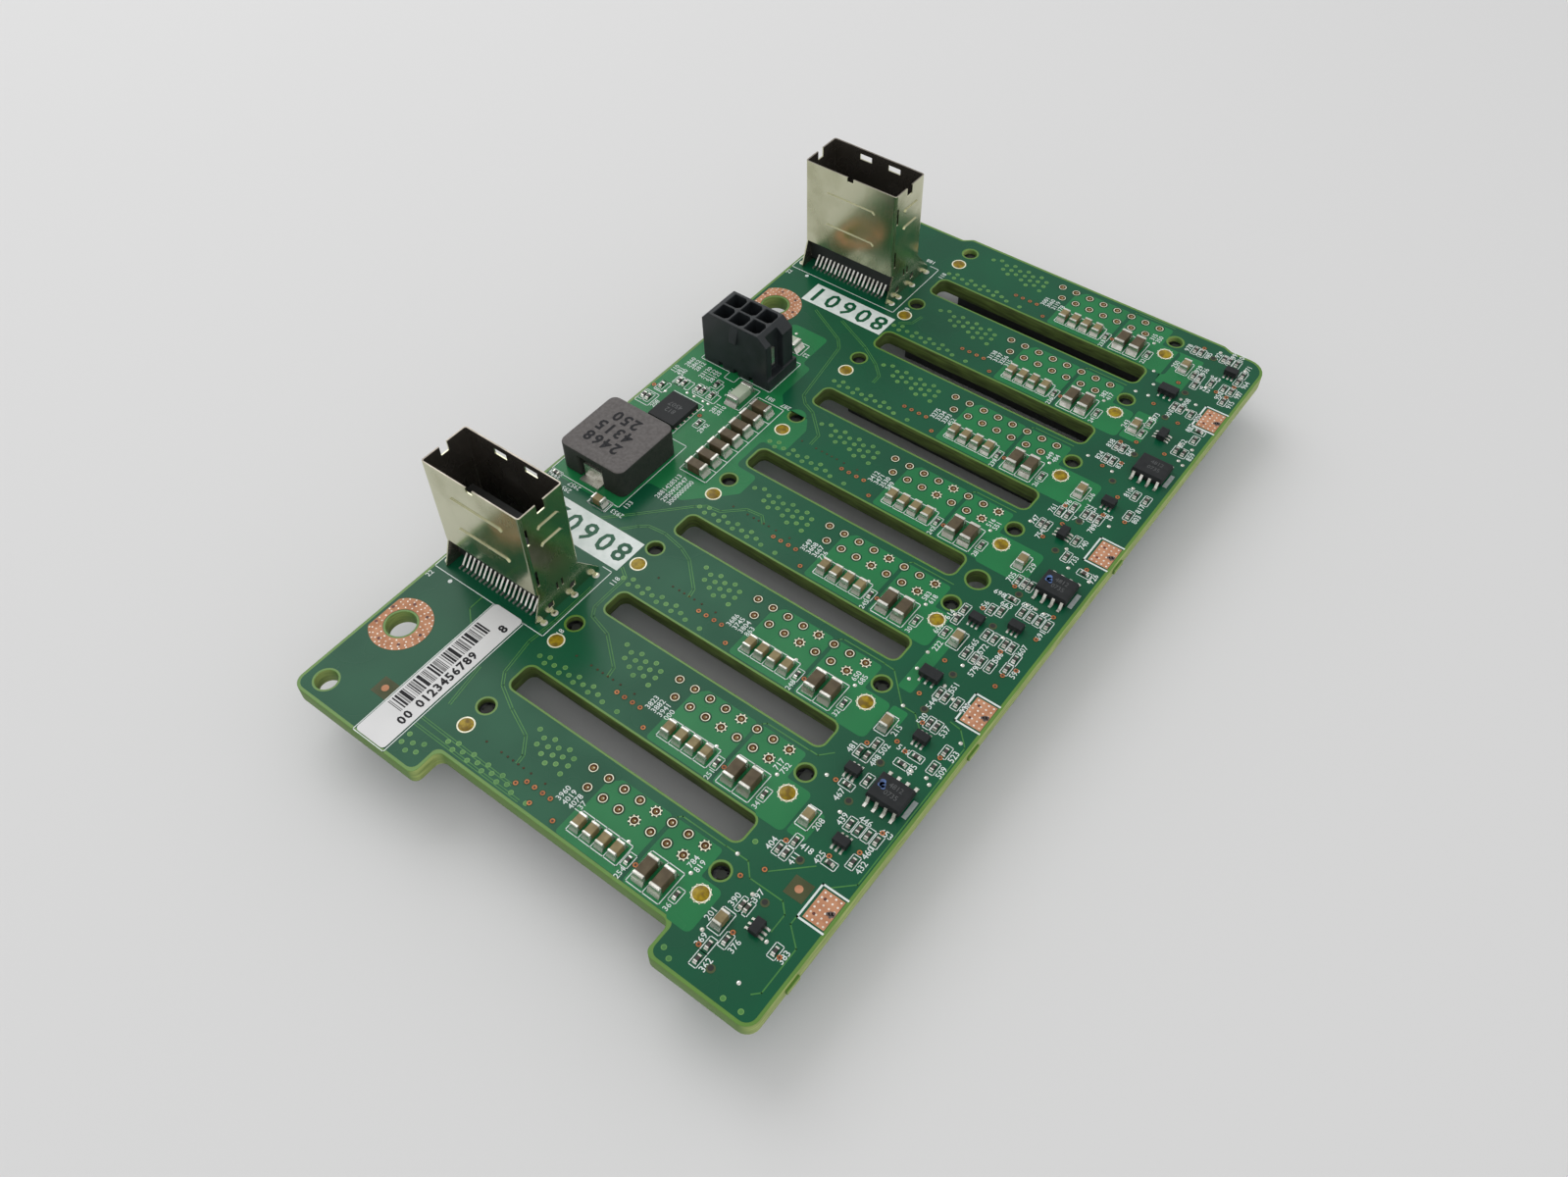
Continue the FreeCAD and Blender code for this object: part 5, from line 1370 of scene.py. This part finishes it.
    def bay_print(self) -> None:
        """Boxes, ladders and number blocks of every bay."""
        for bay, y in enumerate(self.bays.lines(), 1):
            for (left, right, near, far), rungs in self.bay_boxes:
                self.art.frame(left, right, y + near, y + far)
                for x in rungs:
                    self.art.stroke([(x, y + near), (x, y + far)])
            for i in range(4):
                digits = str(2864 + bay * 137 + i * 59)[i // 3:]
                self.art.number(digits, 1.65 + i, y - 3.4 - 0.2 * (i // 3), turn=1)
            for i in range(2):
                self.art.number(str(248 + bay * 67 + i * 35), 20.2 + i, y - 1.0, turn=1)
            self.art.number(str(230 + bay * 3), 14.2, y - 7.25, 0.75, 1)
            self.art.number(str(20 + bay * 2), 21.4, y - 7.2, 0.75, 1)

    def left_side(self) -> None:
        """Lines and numbers round the power parts and the label."""
        for corners in self.power_boxes:
            self.art.frame(*corners)
        for points in self.power_lines:
            self.art.stroke(points)
        for y in self.bank_lines:
            self.art.stroke([(-18.9, y), (-17.4, y)])
        for digits, x, y, turn in self.power_numbers:
            self.art.number(digits, x, y, turn=turn)
        for x, y in self.port_dots:
            self.art.disc(x, y, 0.33)

    def port_boxes(self) -> None:
        """White boxes with a plain number for each port, and the lines round the cages."""
        ink = Art("port_numbers", Layer.LAND)
        for (title, (x0, x1, y0, y1)), port_y in zip(self.port_titles, self.ports.ys):
            self.art.rect(x0, x1, y0, y1)
            ink.number(title, (x0 + x1) / 2.0, (y0 + y1) / 2.0, 3.55, 2, 0.02, 0.87)
            self.art.stroke([(x, port_y + back) for x, back in self.port_line])
            for digits, dx, dy in self.port_numbers:
                self.art.number(digits, self.ports.x + dx, port_y + dy, turn=1)
        ink.done(Ink.MASK)

    def edge_boxes(self) -> None:
        """White outlines of the bare copper pads at the right edge."""
        for y in EDGE_PADS:
            self.art.stroke([(x, y + back) for x, back in self.pad_box], PRINT_LINE * 2.0)

    def build(self) -> None:
        """Gathers the print that no small part brings."""
        self.bay_print()
        self.left_side()
        self.port_boxes()
        self.edge_boxes()

    def finish(self) -> None:
        """Makes the print."""
        self.art.done(Ink.SILK)


# ---- chips, capacitors and resistors ---------------------------------------------------------
@dataclass
class SmallParts:
    """Two-ended parts, small outline parts and their solder."""

    prints: Print
    resistor_end: float = 0.22
    ceramic_end: float = 0.38
    large_end: float = 0.5
    fuse_end: float = 0.7
    ladder: Point = (5.0, 14.0)
    regulator_pads: int = 6
    pad_half: float = 0.13
    pad_out: float = 0.32
    pad_in: float = 0.05
    regulator_rows: tuple[tuple[str, float], ...] = (("4507", 0.6), ("812", -0.7))
    switch_rows: tuple[tuple[str, float], ...] = (("4812", 0.7), ("0735", -0.5))
    dabs: tuple[tuple[float, float, float], ...] = (
        (-1.5, 0.5, 0.4), (-1.3, 0.1, 0.42), (-1.6, 0.0, 0.3), (-1.05, -0.15, 0.3))
    dabbed: int = 2

    def ended(self, block: Block, body: Art, ends: Art, end: float, proud: float) -> None:
        """Body and two metal ends of one part.

        Args:
            block: the part's box.
            body: mesh for the bodies.
            ends: mesh for the ends and their solder.
            end: length of an end.
            proud: how far the ends stand out of the body.
        """
        along, size = block.along, block.size
        shrink = Vector((proud, proud, 0.0))
        body.solid(block.low + shrink + along * end * 0.6, block.high - shrink - along * end * 0.6
                   - Vector((0.0, 0.0, proud)))
        for side in (-1.0, 1.0):
            reach = along * (size.dot(along) - end)
            low = block.low + (reach if side > 0.0 else Vector())
            high = block.high - (reach if side < 0.0 else Vector())
            ends.solid(low, high)

    def solder(self, block: Block, art: Art, run: float, rise: float) -> None:
        """Wedges of solder at both ends of a part.

        Args:
            block: the part's box.
            art: mesh for the solder.
            run: how far a wedge runs out.
            rise: how high it climbs.
        """
        along = block.along
        across = min(block.size.x, block.size.y)
        for side in (-1.0, 1.0):
            foot = block.middle + along * side * block.size.dot(along) / 2.0
            art.fillet(foot.x, foot.y, along * side, across * 1.1, run, rise)

    def dressed(self, parts: list[Block], node: str, ink: Ink, slot: str, end: float,
                replaced: Sequence[str] = ()) -> None:
        """Bodies, ends and solder of two-ended parts.

        Args:
            parts: the parts' boxes, ends included.
            node: the frame's node of their bodies.
            ink: finish of the bodies.
            slot: material slot of the bodies.
            end: length of a metal end.
            replaced: nodes that the ends stand for.
        """
        body, ends, solder = Art(node + "_bodies"), Art(node + "_metal"), Art(node + "_solder")
        proud = min(parts[0].size) * 0.04
        for block in parts:
            self.ended(block, body, ends, end, proud)
            self.solder(block, solder, end * 0.8, block.size.z * 0.55)
        body.softened(proud * 1.2)
        ends.softened(proud * 2.0, 2)
        body.done(ink, slot, [node])
        ends.done(Ink.TIN, TINNED, replaced)
        solder.done(Ink.TIN, TINNED)

    def chips(self) -> None:
        """Resistors and small capacitors of every kind."""
        parts = blocks("chip_resistors")
        self.dressed(parts, "chip_resistors", Ink.RESISTOR, "resistor_body", self.resistor_end)
        for block in parts:
            self.prints.round_part(block, 0.3, 0.5, 0.11)
            self.prints.keep_clear(block, 0.8, 0.9)
        parts = blocks("small_capacitors")
        self.dressed(parts, "small_capacitors", Ink.CERAMIC, "capacitor_body", self.ceramic_end)
        for block in parts:
            if not self.ladder[0] < block.middle.x < self.ladder[1]:
                self.prints.round_part(block, 0.3, 0.6)
            self.prints.keep_clear(block, 0.9, 1.4)
        for node, ends, ink, slot, end in (
                ("large_capacitors", "large_capacitor_ends", Ink.CERAMIC_DARK, "capacitor_body",
                 self.large_end),
                ("fuses", "fuse_ends", Ink.FUSE, "fuse_body", self.fuse_end)):
            parts = [Block(b.low - b.along * end, b.high + b.along * end) for b in blocks(node)]
            self.dressed(parts, node, ink, slot, end, [ends])

    def shells(self) -> None:
        """Rounded bodies of the outline parts, the switches and the regulator."""
        softened("transistor_bodies", "transistor_shells", Ink.CHIP, "chip_body", 0.06)
        softened("switch_bodies", "switch_shells", Ink.CHIP, "chip_body", 0.08)
        softened("regulator_chip", "regulator_shell", Ink.CHIP, "chip_body", 0.06)

    def regulator(self) -> None:
        """Pads at two sides of the regulator, and its plain numbers."""
        chip = blocks("regulator_chip")[0]
        pads, marks = Art("regulator_pads", Layer.LAND), Art("regulator_marks")
        low, high, half = chip.low, chip.high, self.pad_half
        for i in range(self.regulator_pads):
            middle = low + chip.size * (i + 0.5) / self.regulator_pads
            pads.rect(high.x - self.pad_in, high.x + self.pad_out, middle.y - half, middle.y + half)
            pads.rect(middle.x - half, middle.x + half, low.y - self.pad_out, low.y + self.pad_in)
        marks.height = TOP + high.z + 0.01
        for digits, back in self.regulator_rows:
            marks.number(digits, chip.middle.x, chip.middle.y + back, 0.9, 2)
        pads.done(Ink.PIN_RING, TINNED)
        marks.done(Ink.CHIP_MARK, "chip_body")

    def leads(self) -> None:
        """Leads of the outline parts and the switches, with their solder."""
        dress(("switch_leads", "transistor_leads"), Ink.TIN)
        solder = Art("lead_solder")
        for block in blocks("transistor_leads"):
            for side in (-1.0, 1.0):
                foot = block.middle + block.along * side * block.size.dot(block.along) / 2.0
                solder.fillet(foot.x, foot.y, block.along * side, 0.32, 0.25, 0.12)
        for block in blocks("switch_leads"):
            solder.fillet(block.middle.x, block.middle.y, Vector((0.0, 1.0, 0.0)), 0.5, 0.7, 0.1)
        solder.done(Ink.TIN, TINNED)

    def switch_print(self) -> None:
        """White bars beside the switches, their plain numbers and the paint dabs."""
        bars, marks, dabs = Art("switch_bars"), Art("switch_marks"), Art("paint_dabs")
        for i, block in enumerate(blocks("switch_bodies")):
            x, y = block.middle.x, block.middle.y
            bars.rect(block.high.x + 0.05, block.high.x + 0.7, y - 1.4, y + 1.4)
            marks.height = TOP + block.high.z + 0.02
            dabs.height = marks.height + 0.01
            for digits, back in self.switch_rows:
                marks.number(digits, x + 0.3, y + back, 0.7, 0, 0.0)
            for dx, dy, radius in self.dabs if i < self.dabbed else ():
                dabs.disc(x + dx, y + dy, radius, 9)
        bars.done(Ink.BAR)
        marks.done(Ink.CHIP_MARK, "chip_body")
        dabs.done(Ink.DAB, "chip_body")

    def numbers(self) -> None:
        """Numbers beside the parts of the right strip."""
        for node in ("transistor_bodies", "switch_bodies"):
            for block in blocks(node):
                self.prints.keep_clear(block, 2.2, 2.2)
        for node in ("small_capacitors", "transistor_bodies", "switch_bodies", "chip_resistors"):
            for block in blocks(node):
                if block.middle.x > 25.0:
                    self.prints.number_near(block)

    def build(self) -> None:
        """Makes the small parts."""
        self.chips()
        self.shells()
        self.regulator()
        self.leads()
        self.switch_print()
        self.numbers()


# ---- connectors ------------------------------------------------------------------------------
@dataclass
class Connectors:
    """Drive connectors, ports, header and inductor."""

    bays: Bays
    ports: Ports
    cage_wall: float = 0.2
    foot_radius: float = 0.55
    foot_top: float = 0.19
    core_rows: tuple[tuple[str, float], ...] = (("250", 2.9), ("4315", 0.2), ("2468", -2.5))

    def drives(self) -> None:
        """Drive connectors and their blades."""
        numbers = range(1, self.bays.total + 1)
        dress((f"drive_connector_{i}" for i in numbers), Ink.PLASTIC)
        dress((f"drive_contacts_{i}" for i in numbers), Ink.GOLD)

    def cage(self, number: int, y: float) -> None:
        """One folded cage, bright outside, with a darker copy of its finish on its inner faces as painted
        shade.
        """
        piece = softened(f"port_cage_{number}", f"cage_shell_{number}", Ink.CAGE, "cage_sheet", 0.04, 1)
        # Inner faces take the darker copy of the sheet: painted shade inside the cage.
        piece.data.materials.append(Ink.CAGE_INSIDE.material())
        reach_x = self.ports.length / 2.0 - self.cage_wall
        reach_y = self.ports.depth / 2.0 - self.cage_wall
        for face in piece.data.polygons:
            from_middle = face.center / MM - Vector((self.ports.x, y, 0.0))
            if abs(from_middle.x) < reach_x and abs(from_middle.y) < reach_y:
                face.material_index = 1

    def cable_ports(self) -> None:
        """Cages, inserts, contacts and soldered feet of the cable ports."""
        feet, tops = Art("foot_solder"), Art("foot_tops")
        tops.height = TOP + self.foot_top
        for number, y in enumerate(self.ports.ys, 1):
            self.cage(number, y)
            dress([f"port_housing_{number}"], Ink.PLASTIC)
            dress([f"port_contacts_{number}"], Ink.TIN)
            for foot_x, foot_y in self.ports.feet(y):
                feet.dome(foot_x, foot_y, self.foot_radius, 0.2)
                tops.disc(foot_x, foot_y, 0.2, 8)
        feet.done(Ink.TIN, TINNED)
        tops.done(Ink.PIN_RING, TINNED)

    def power(self) -> None:
        """Header, its posts and clip, and the inductor."""
        softened("power_header", "header_shell", Ink.HEADER, "header_plastic", 0.12)
        dress(["power_header_pins"], Ink.GOLD)
        dress(["power_header_clip"], Ink.TIN)
        # The core's sides take the darker copy of its finish as painted shade; its upward faces keep the
        # core's own colour.
        block = softened("inductor_core", "inductor_block", Ink.CORE_SIDE, "powder_core", 0.25)
        block.data.materials.append(Ink.CORE.material())
        for face in block.data.polygons:
            face.material_index = int(face.normal.z > 0.6)
        dress(["inductor_terminals"], Ink.TIN)
        low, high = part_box("inductor_core")
        marks = Art("inductor_marks")
        marks.height = high.z / MM + 0.02
        for digits, back in self.core_rows:
            x, y = (low.x + high.x) / 2.0 / MM - 0.6, (low.y + high.y) / 2.0 / MM + back
            marks.number(digits, x, y, 2.1, 2, 0.03, 0.8)
        marks.done(Ink.LABEL_INK, "powder_core")

    def build(self) -> None:
        """Dresses the connectors."""
        self.drives()
        self.cable_ports()
        self.power()


@dataclass
class Underside:
    """Solder, vias, copper under the mask and plain print of the lower face."""

    bays: Bays
    ports: Ports
    open_vias: Sequence[Point]
    header_posts: tuple[Point, ...] = (
        (-31.3, 16.5), (-28.3, 16.5), (-25.3, 16.5), (-31.3, 19.5), (-28.3, 19.5), (-25.3, 19.5))
    header_pegs: tuple[Point, ...] = ((-33.4, 18.0), (-23.0, 18.0))
    pours: tuple[Edges, ...] = ((26.6, 35.8, -63.0, 63.0), (-36.4, -18.6, -26.0, 26.0))
    header_box: Edges = (-35.2, -21.2, 13.6, 22.4)
    post_cone: Point = (0.85, 0.7)
    foot_cone: Point = (0.55, 0.5)
    ring_wider: float = 0.22
    cone_tip: float = 0.45
    peg_hole: float = 0.75
    drive_box: Edges = (-17.4, 25.9, -5.7, 3.5)
    number_x: float = 29.0
    number_high: float = 3.2

    def solder(self) -> None:
        """Cones where the header's posts and the cages' feet come through."""
        rings, cones = Art("under_rings", Layer.LAND, True), Art("under_solder", under=True)
        feet = [(x, y) for port_y in self.ports.ys for x, y in self.ports.feet(port_y)]
        for (radius, depth), places in ((self.post_cone, self.header_posts), (self.foot_cone, feet)):
            for x, y in places:
                rings.disc(x, y, radius + self.ring_wider, 18)
                cones.cone(x, y, -BOARD_T - depth, -BOARD_T, radius, self.cone_tip, 14)
        rings.done(Ink.PIN_RING, TINNED)
        cones.done(Ink.TIN, TINNED)

    def vias(self) -> None:
        """Via rims with dark middles, and the header's peg holes."""
        rims = Art("under_vias", Layer.LAND, True)
        middles = Art("under_via_middles", Layer.HOLE, True)
        for x, y in self.open_vias:
            rims.disc(x, y, VIA_RIM)
            middles.disc(x, y, VIA_HOLE, 8)
        for x, y in self.header_pegs:
            middles.disc(x, y, self.peg_hole, 18)
        rims.done(Ink.VIA_RIM)
        middles.done(Ink.HOLE)

    def marks(self) -> None:
        """Copper under the mask, a box round each drive connector and its plain number."""
        pours, lines = Art("under_pours", Layer.POUR, True), Art("under_print", Layer.SILK, True)
        for corners in self.pours:
            pours.rect(*corners)
        for number, y in enumerate(self.bays.lines(), 1):
            left, right, near, far = self.drive_box
            lines.frame(left, right, y + near, y + far)
            lines.number(str(number), self.number_x, y - 1.0, self.number_high, 0, 0.03)
        lines.frame(*self.header_box)
        pours.done(Ink.POUR)
        lines.done(Ink.SILK)

    def build(self) -> None:
        """Makes the underside's pieces."""
        self.solder()
        self.vias()
        self.marks()


@dataclass
class Label:
    """White label with irregular bars and a row of plain figures beside them."""

    left: float = -25.9
    right: float = -20.7
    near: float = -65.5
    far: float = -40.5
    thick: float = 0.1
    bars_left: float = -25.55
    bars_right: float = -23.1
    bars_near: float = -60.3
    bars_far: float = -44.5
    widths: tuple[float, ...] = (0.1, 0.32, 0.12, 0.2, 0.5, 0.14, 0.26)
    gaps: tuple[float, ...] = (0.12, 0.2, 0.1, 0.3, 0.14)
    rows: tuple[tuple[str, float, float, float, float], ...] = (
        ("0123456789", -22.05, -53.3, 1.4, 0.745), ("00", -22.05, -60.6, 1.4, 0.78),
        ("8", -22.0, -43.1, 1.45, 0.7))

    def build(self) -> None:
        """Makes the label, its bars and its figures."""
        loop = box_outline(self.left, self.right, self.near, self.far, 0.6)
        face = plate("label_face", [loop], TOP + 0.05, self.thick - 0.04, Ink.PAPER)
        adopt(face, "label_paper", ["label"])
        black, grey = Art("label_bars"), Art("label_grey_bars")
        for art in (black, grey):
            art.height = TOP + self.thick + 0.02
        y = self.bars_near
        step = 0
        while y < self.bars_far:
            width = self.widths[step * 5 % len(self.widths)]
            bar = grey if step % 3 == 1 else black
            bar.rect(self.bars_left, self.bars_right, y, y + width)
            y += width + self.gaps[step * 3 % len(self.gaps)]
            step += 1
        for digits, x, middle, height, apart in self.rows:
            black.number(digits, x, middle, height, 1, 0.035, apart)
        black.done(Ink.LABEL_INK, "label_paper")
        grey.done(Ink.LABEL_GREY, "label_paper")


# ---- studio ----------------------------------------------------------------------------------
@dataclass
class Studio:
    """Floor, light and camera."""

    camera_place: Colour = (0.073613, -0.103591, 0.14926)
    camera_target: Colour = (0.003879, -0.015105, 0.0095)
    camera_roll: float = -1.281
    lens: float = 30.205
    sensor: float = 36.0
    floor_colour: Colour = (0.7, 0.7, 0.7)
    floor_size: float = 3.0
    horizon_light: float = 0.92
    zenith_light: float = 0.62
    soft_place: Colour = (-0.42, 0.16, 0.5)
    soft_size: float = 0.45
    soft_power: float = 1.25
    fill_place: Colour = (0.3, -0.3, 0.55)
    fill_power: float = 0.5

    def floor(self) -> None:
        """Plain pale floor."""
        mesh = bmesh.new()
        bmesh.ops.create_grid(mesh, x_segments=1, y_segments=1, size=self.floor_size)
        skin = Skin("floor_grey")
        skin.surface(Base_Color=(*self.floor_colour, 1.0), Roughness=0.9)
        data = baked("floor", mesh)
        data.materials.append(skin.material)
        shown("floor", data)

    def world(self) -> None:
        """Even light from all round, dimmer overhead than at the horizon."""
        world = bpy.data.worlds.new("studio")
        graph = Graph(world)
        height = graph.part(graph.place("Generated"), UP)
        ends = {"Value": height, "To Min": self.horizon_light, "To Max": self.zenith_light}
        level = graph.value("ShaderNodeMapRange", ends, "Result")
        light = graph.value("ShaderNodeBackground", {"Color": WHITE, "Strength": level}, "Background")
        graph.node("ShaderNodeOutputWorld", {}, {"Surface": light})
        bpy.context.scene.world = world

    def lamp(self, name: str, place: Colour, power: float) -> None:
        """Square soft light that looks at the board.

        Args:
            name: the light's name.
            place: where it hangs, in metres.
            power: its power in watts.
        """
        light = bpy.data.lights.new(name, "AREA")
        light.size = self.soft_size
        light.energy = power
        lamp = shown(name, light)
        lamp.location = place
        lamp.rotation_euler = (-Vector(place)).to_track_quat("-Z", "Y").to_euler()

    def camera(self) -> None:
        """Camera over the near right corner."""
        data = bpy.data.cameras.new("camera")
        data.lens = self.lens
        data.sensor_width = self.sensor
        data.clip_start = 0.005
        camera = shown("camera", data)
        look = Vector(self.camera_target) - Vector(self.camera_place)
        turn = look.to_track_quat("-Z", "Y").to_matrix().to_4x4()
        roll = Matrix.Rotation(math.radians(self.camera_roll), 4, "Z")
        camera.matrix_world = Matrix.Translation(self.camera_place) @ turn @ roll
        bpy.context.scene.camera = camera

    def build(self) -> None:
        """Sets the scene."""
        self.floor()
        self.world()
        self.lamp("soft_light", self.soft_place, self.soft_power)
        self.lamp("fill_light", self.fill_place, self.fill_power)
        self.camera()
        bpy.context.scene.view_settings.view_transform = "Standard"


def main() -> None:
    """Builds the looks, piece by piece."""
    logging.basicConfig(level=logging.INFO, format="%(name)s %(message)s")
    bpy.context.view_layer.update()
    bays, ports = Bays(), Ports()
    copperwork, prints = Copperwork(bays), Print(bays, ports)
    Board(bays).build()
    copperwork.build()
    prints.build()
    SmallParts(prints).build()
    prints.finish()
    Connectors(bays, ports).build()
    Underside(bays, ports, copperwork.open_vias).build()
    Label().build()
    Studio().build()


if __name__ == "__main__":
    main()
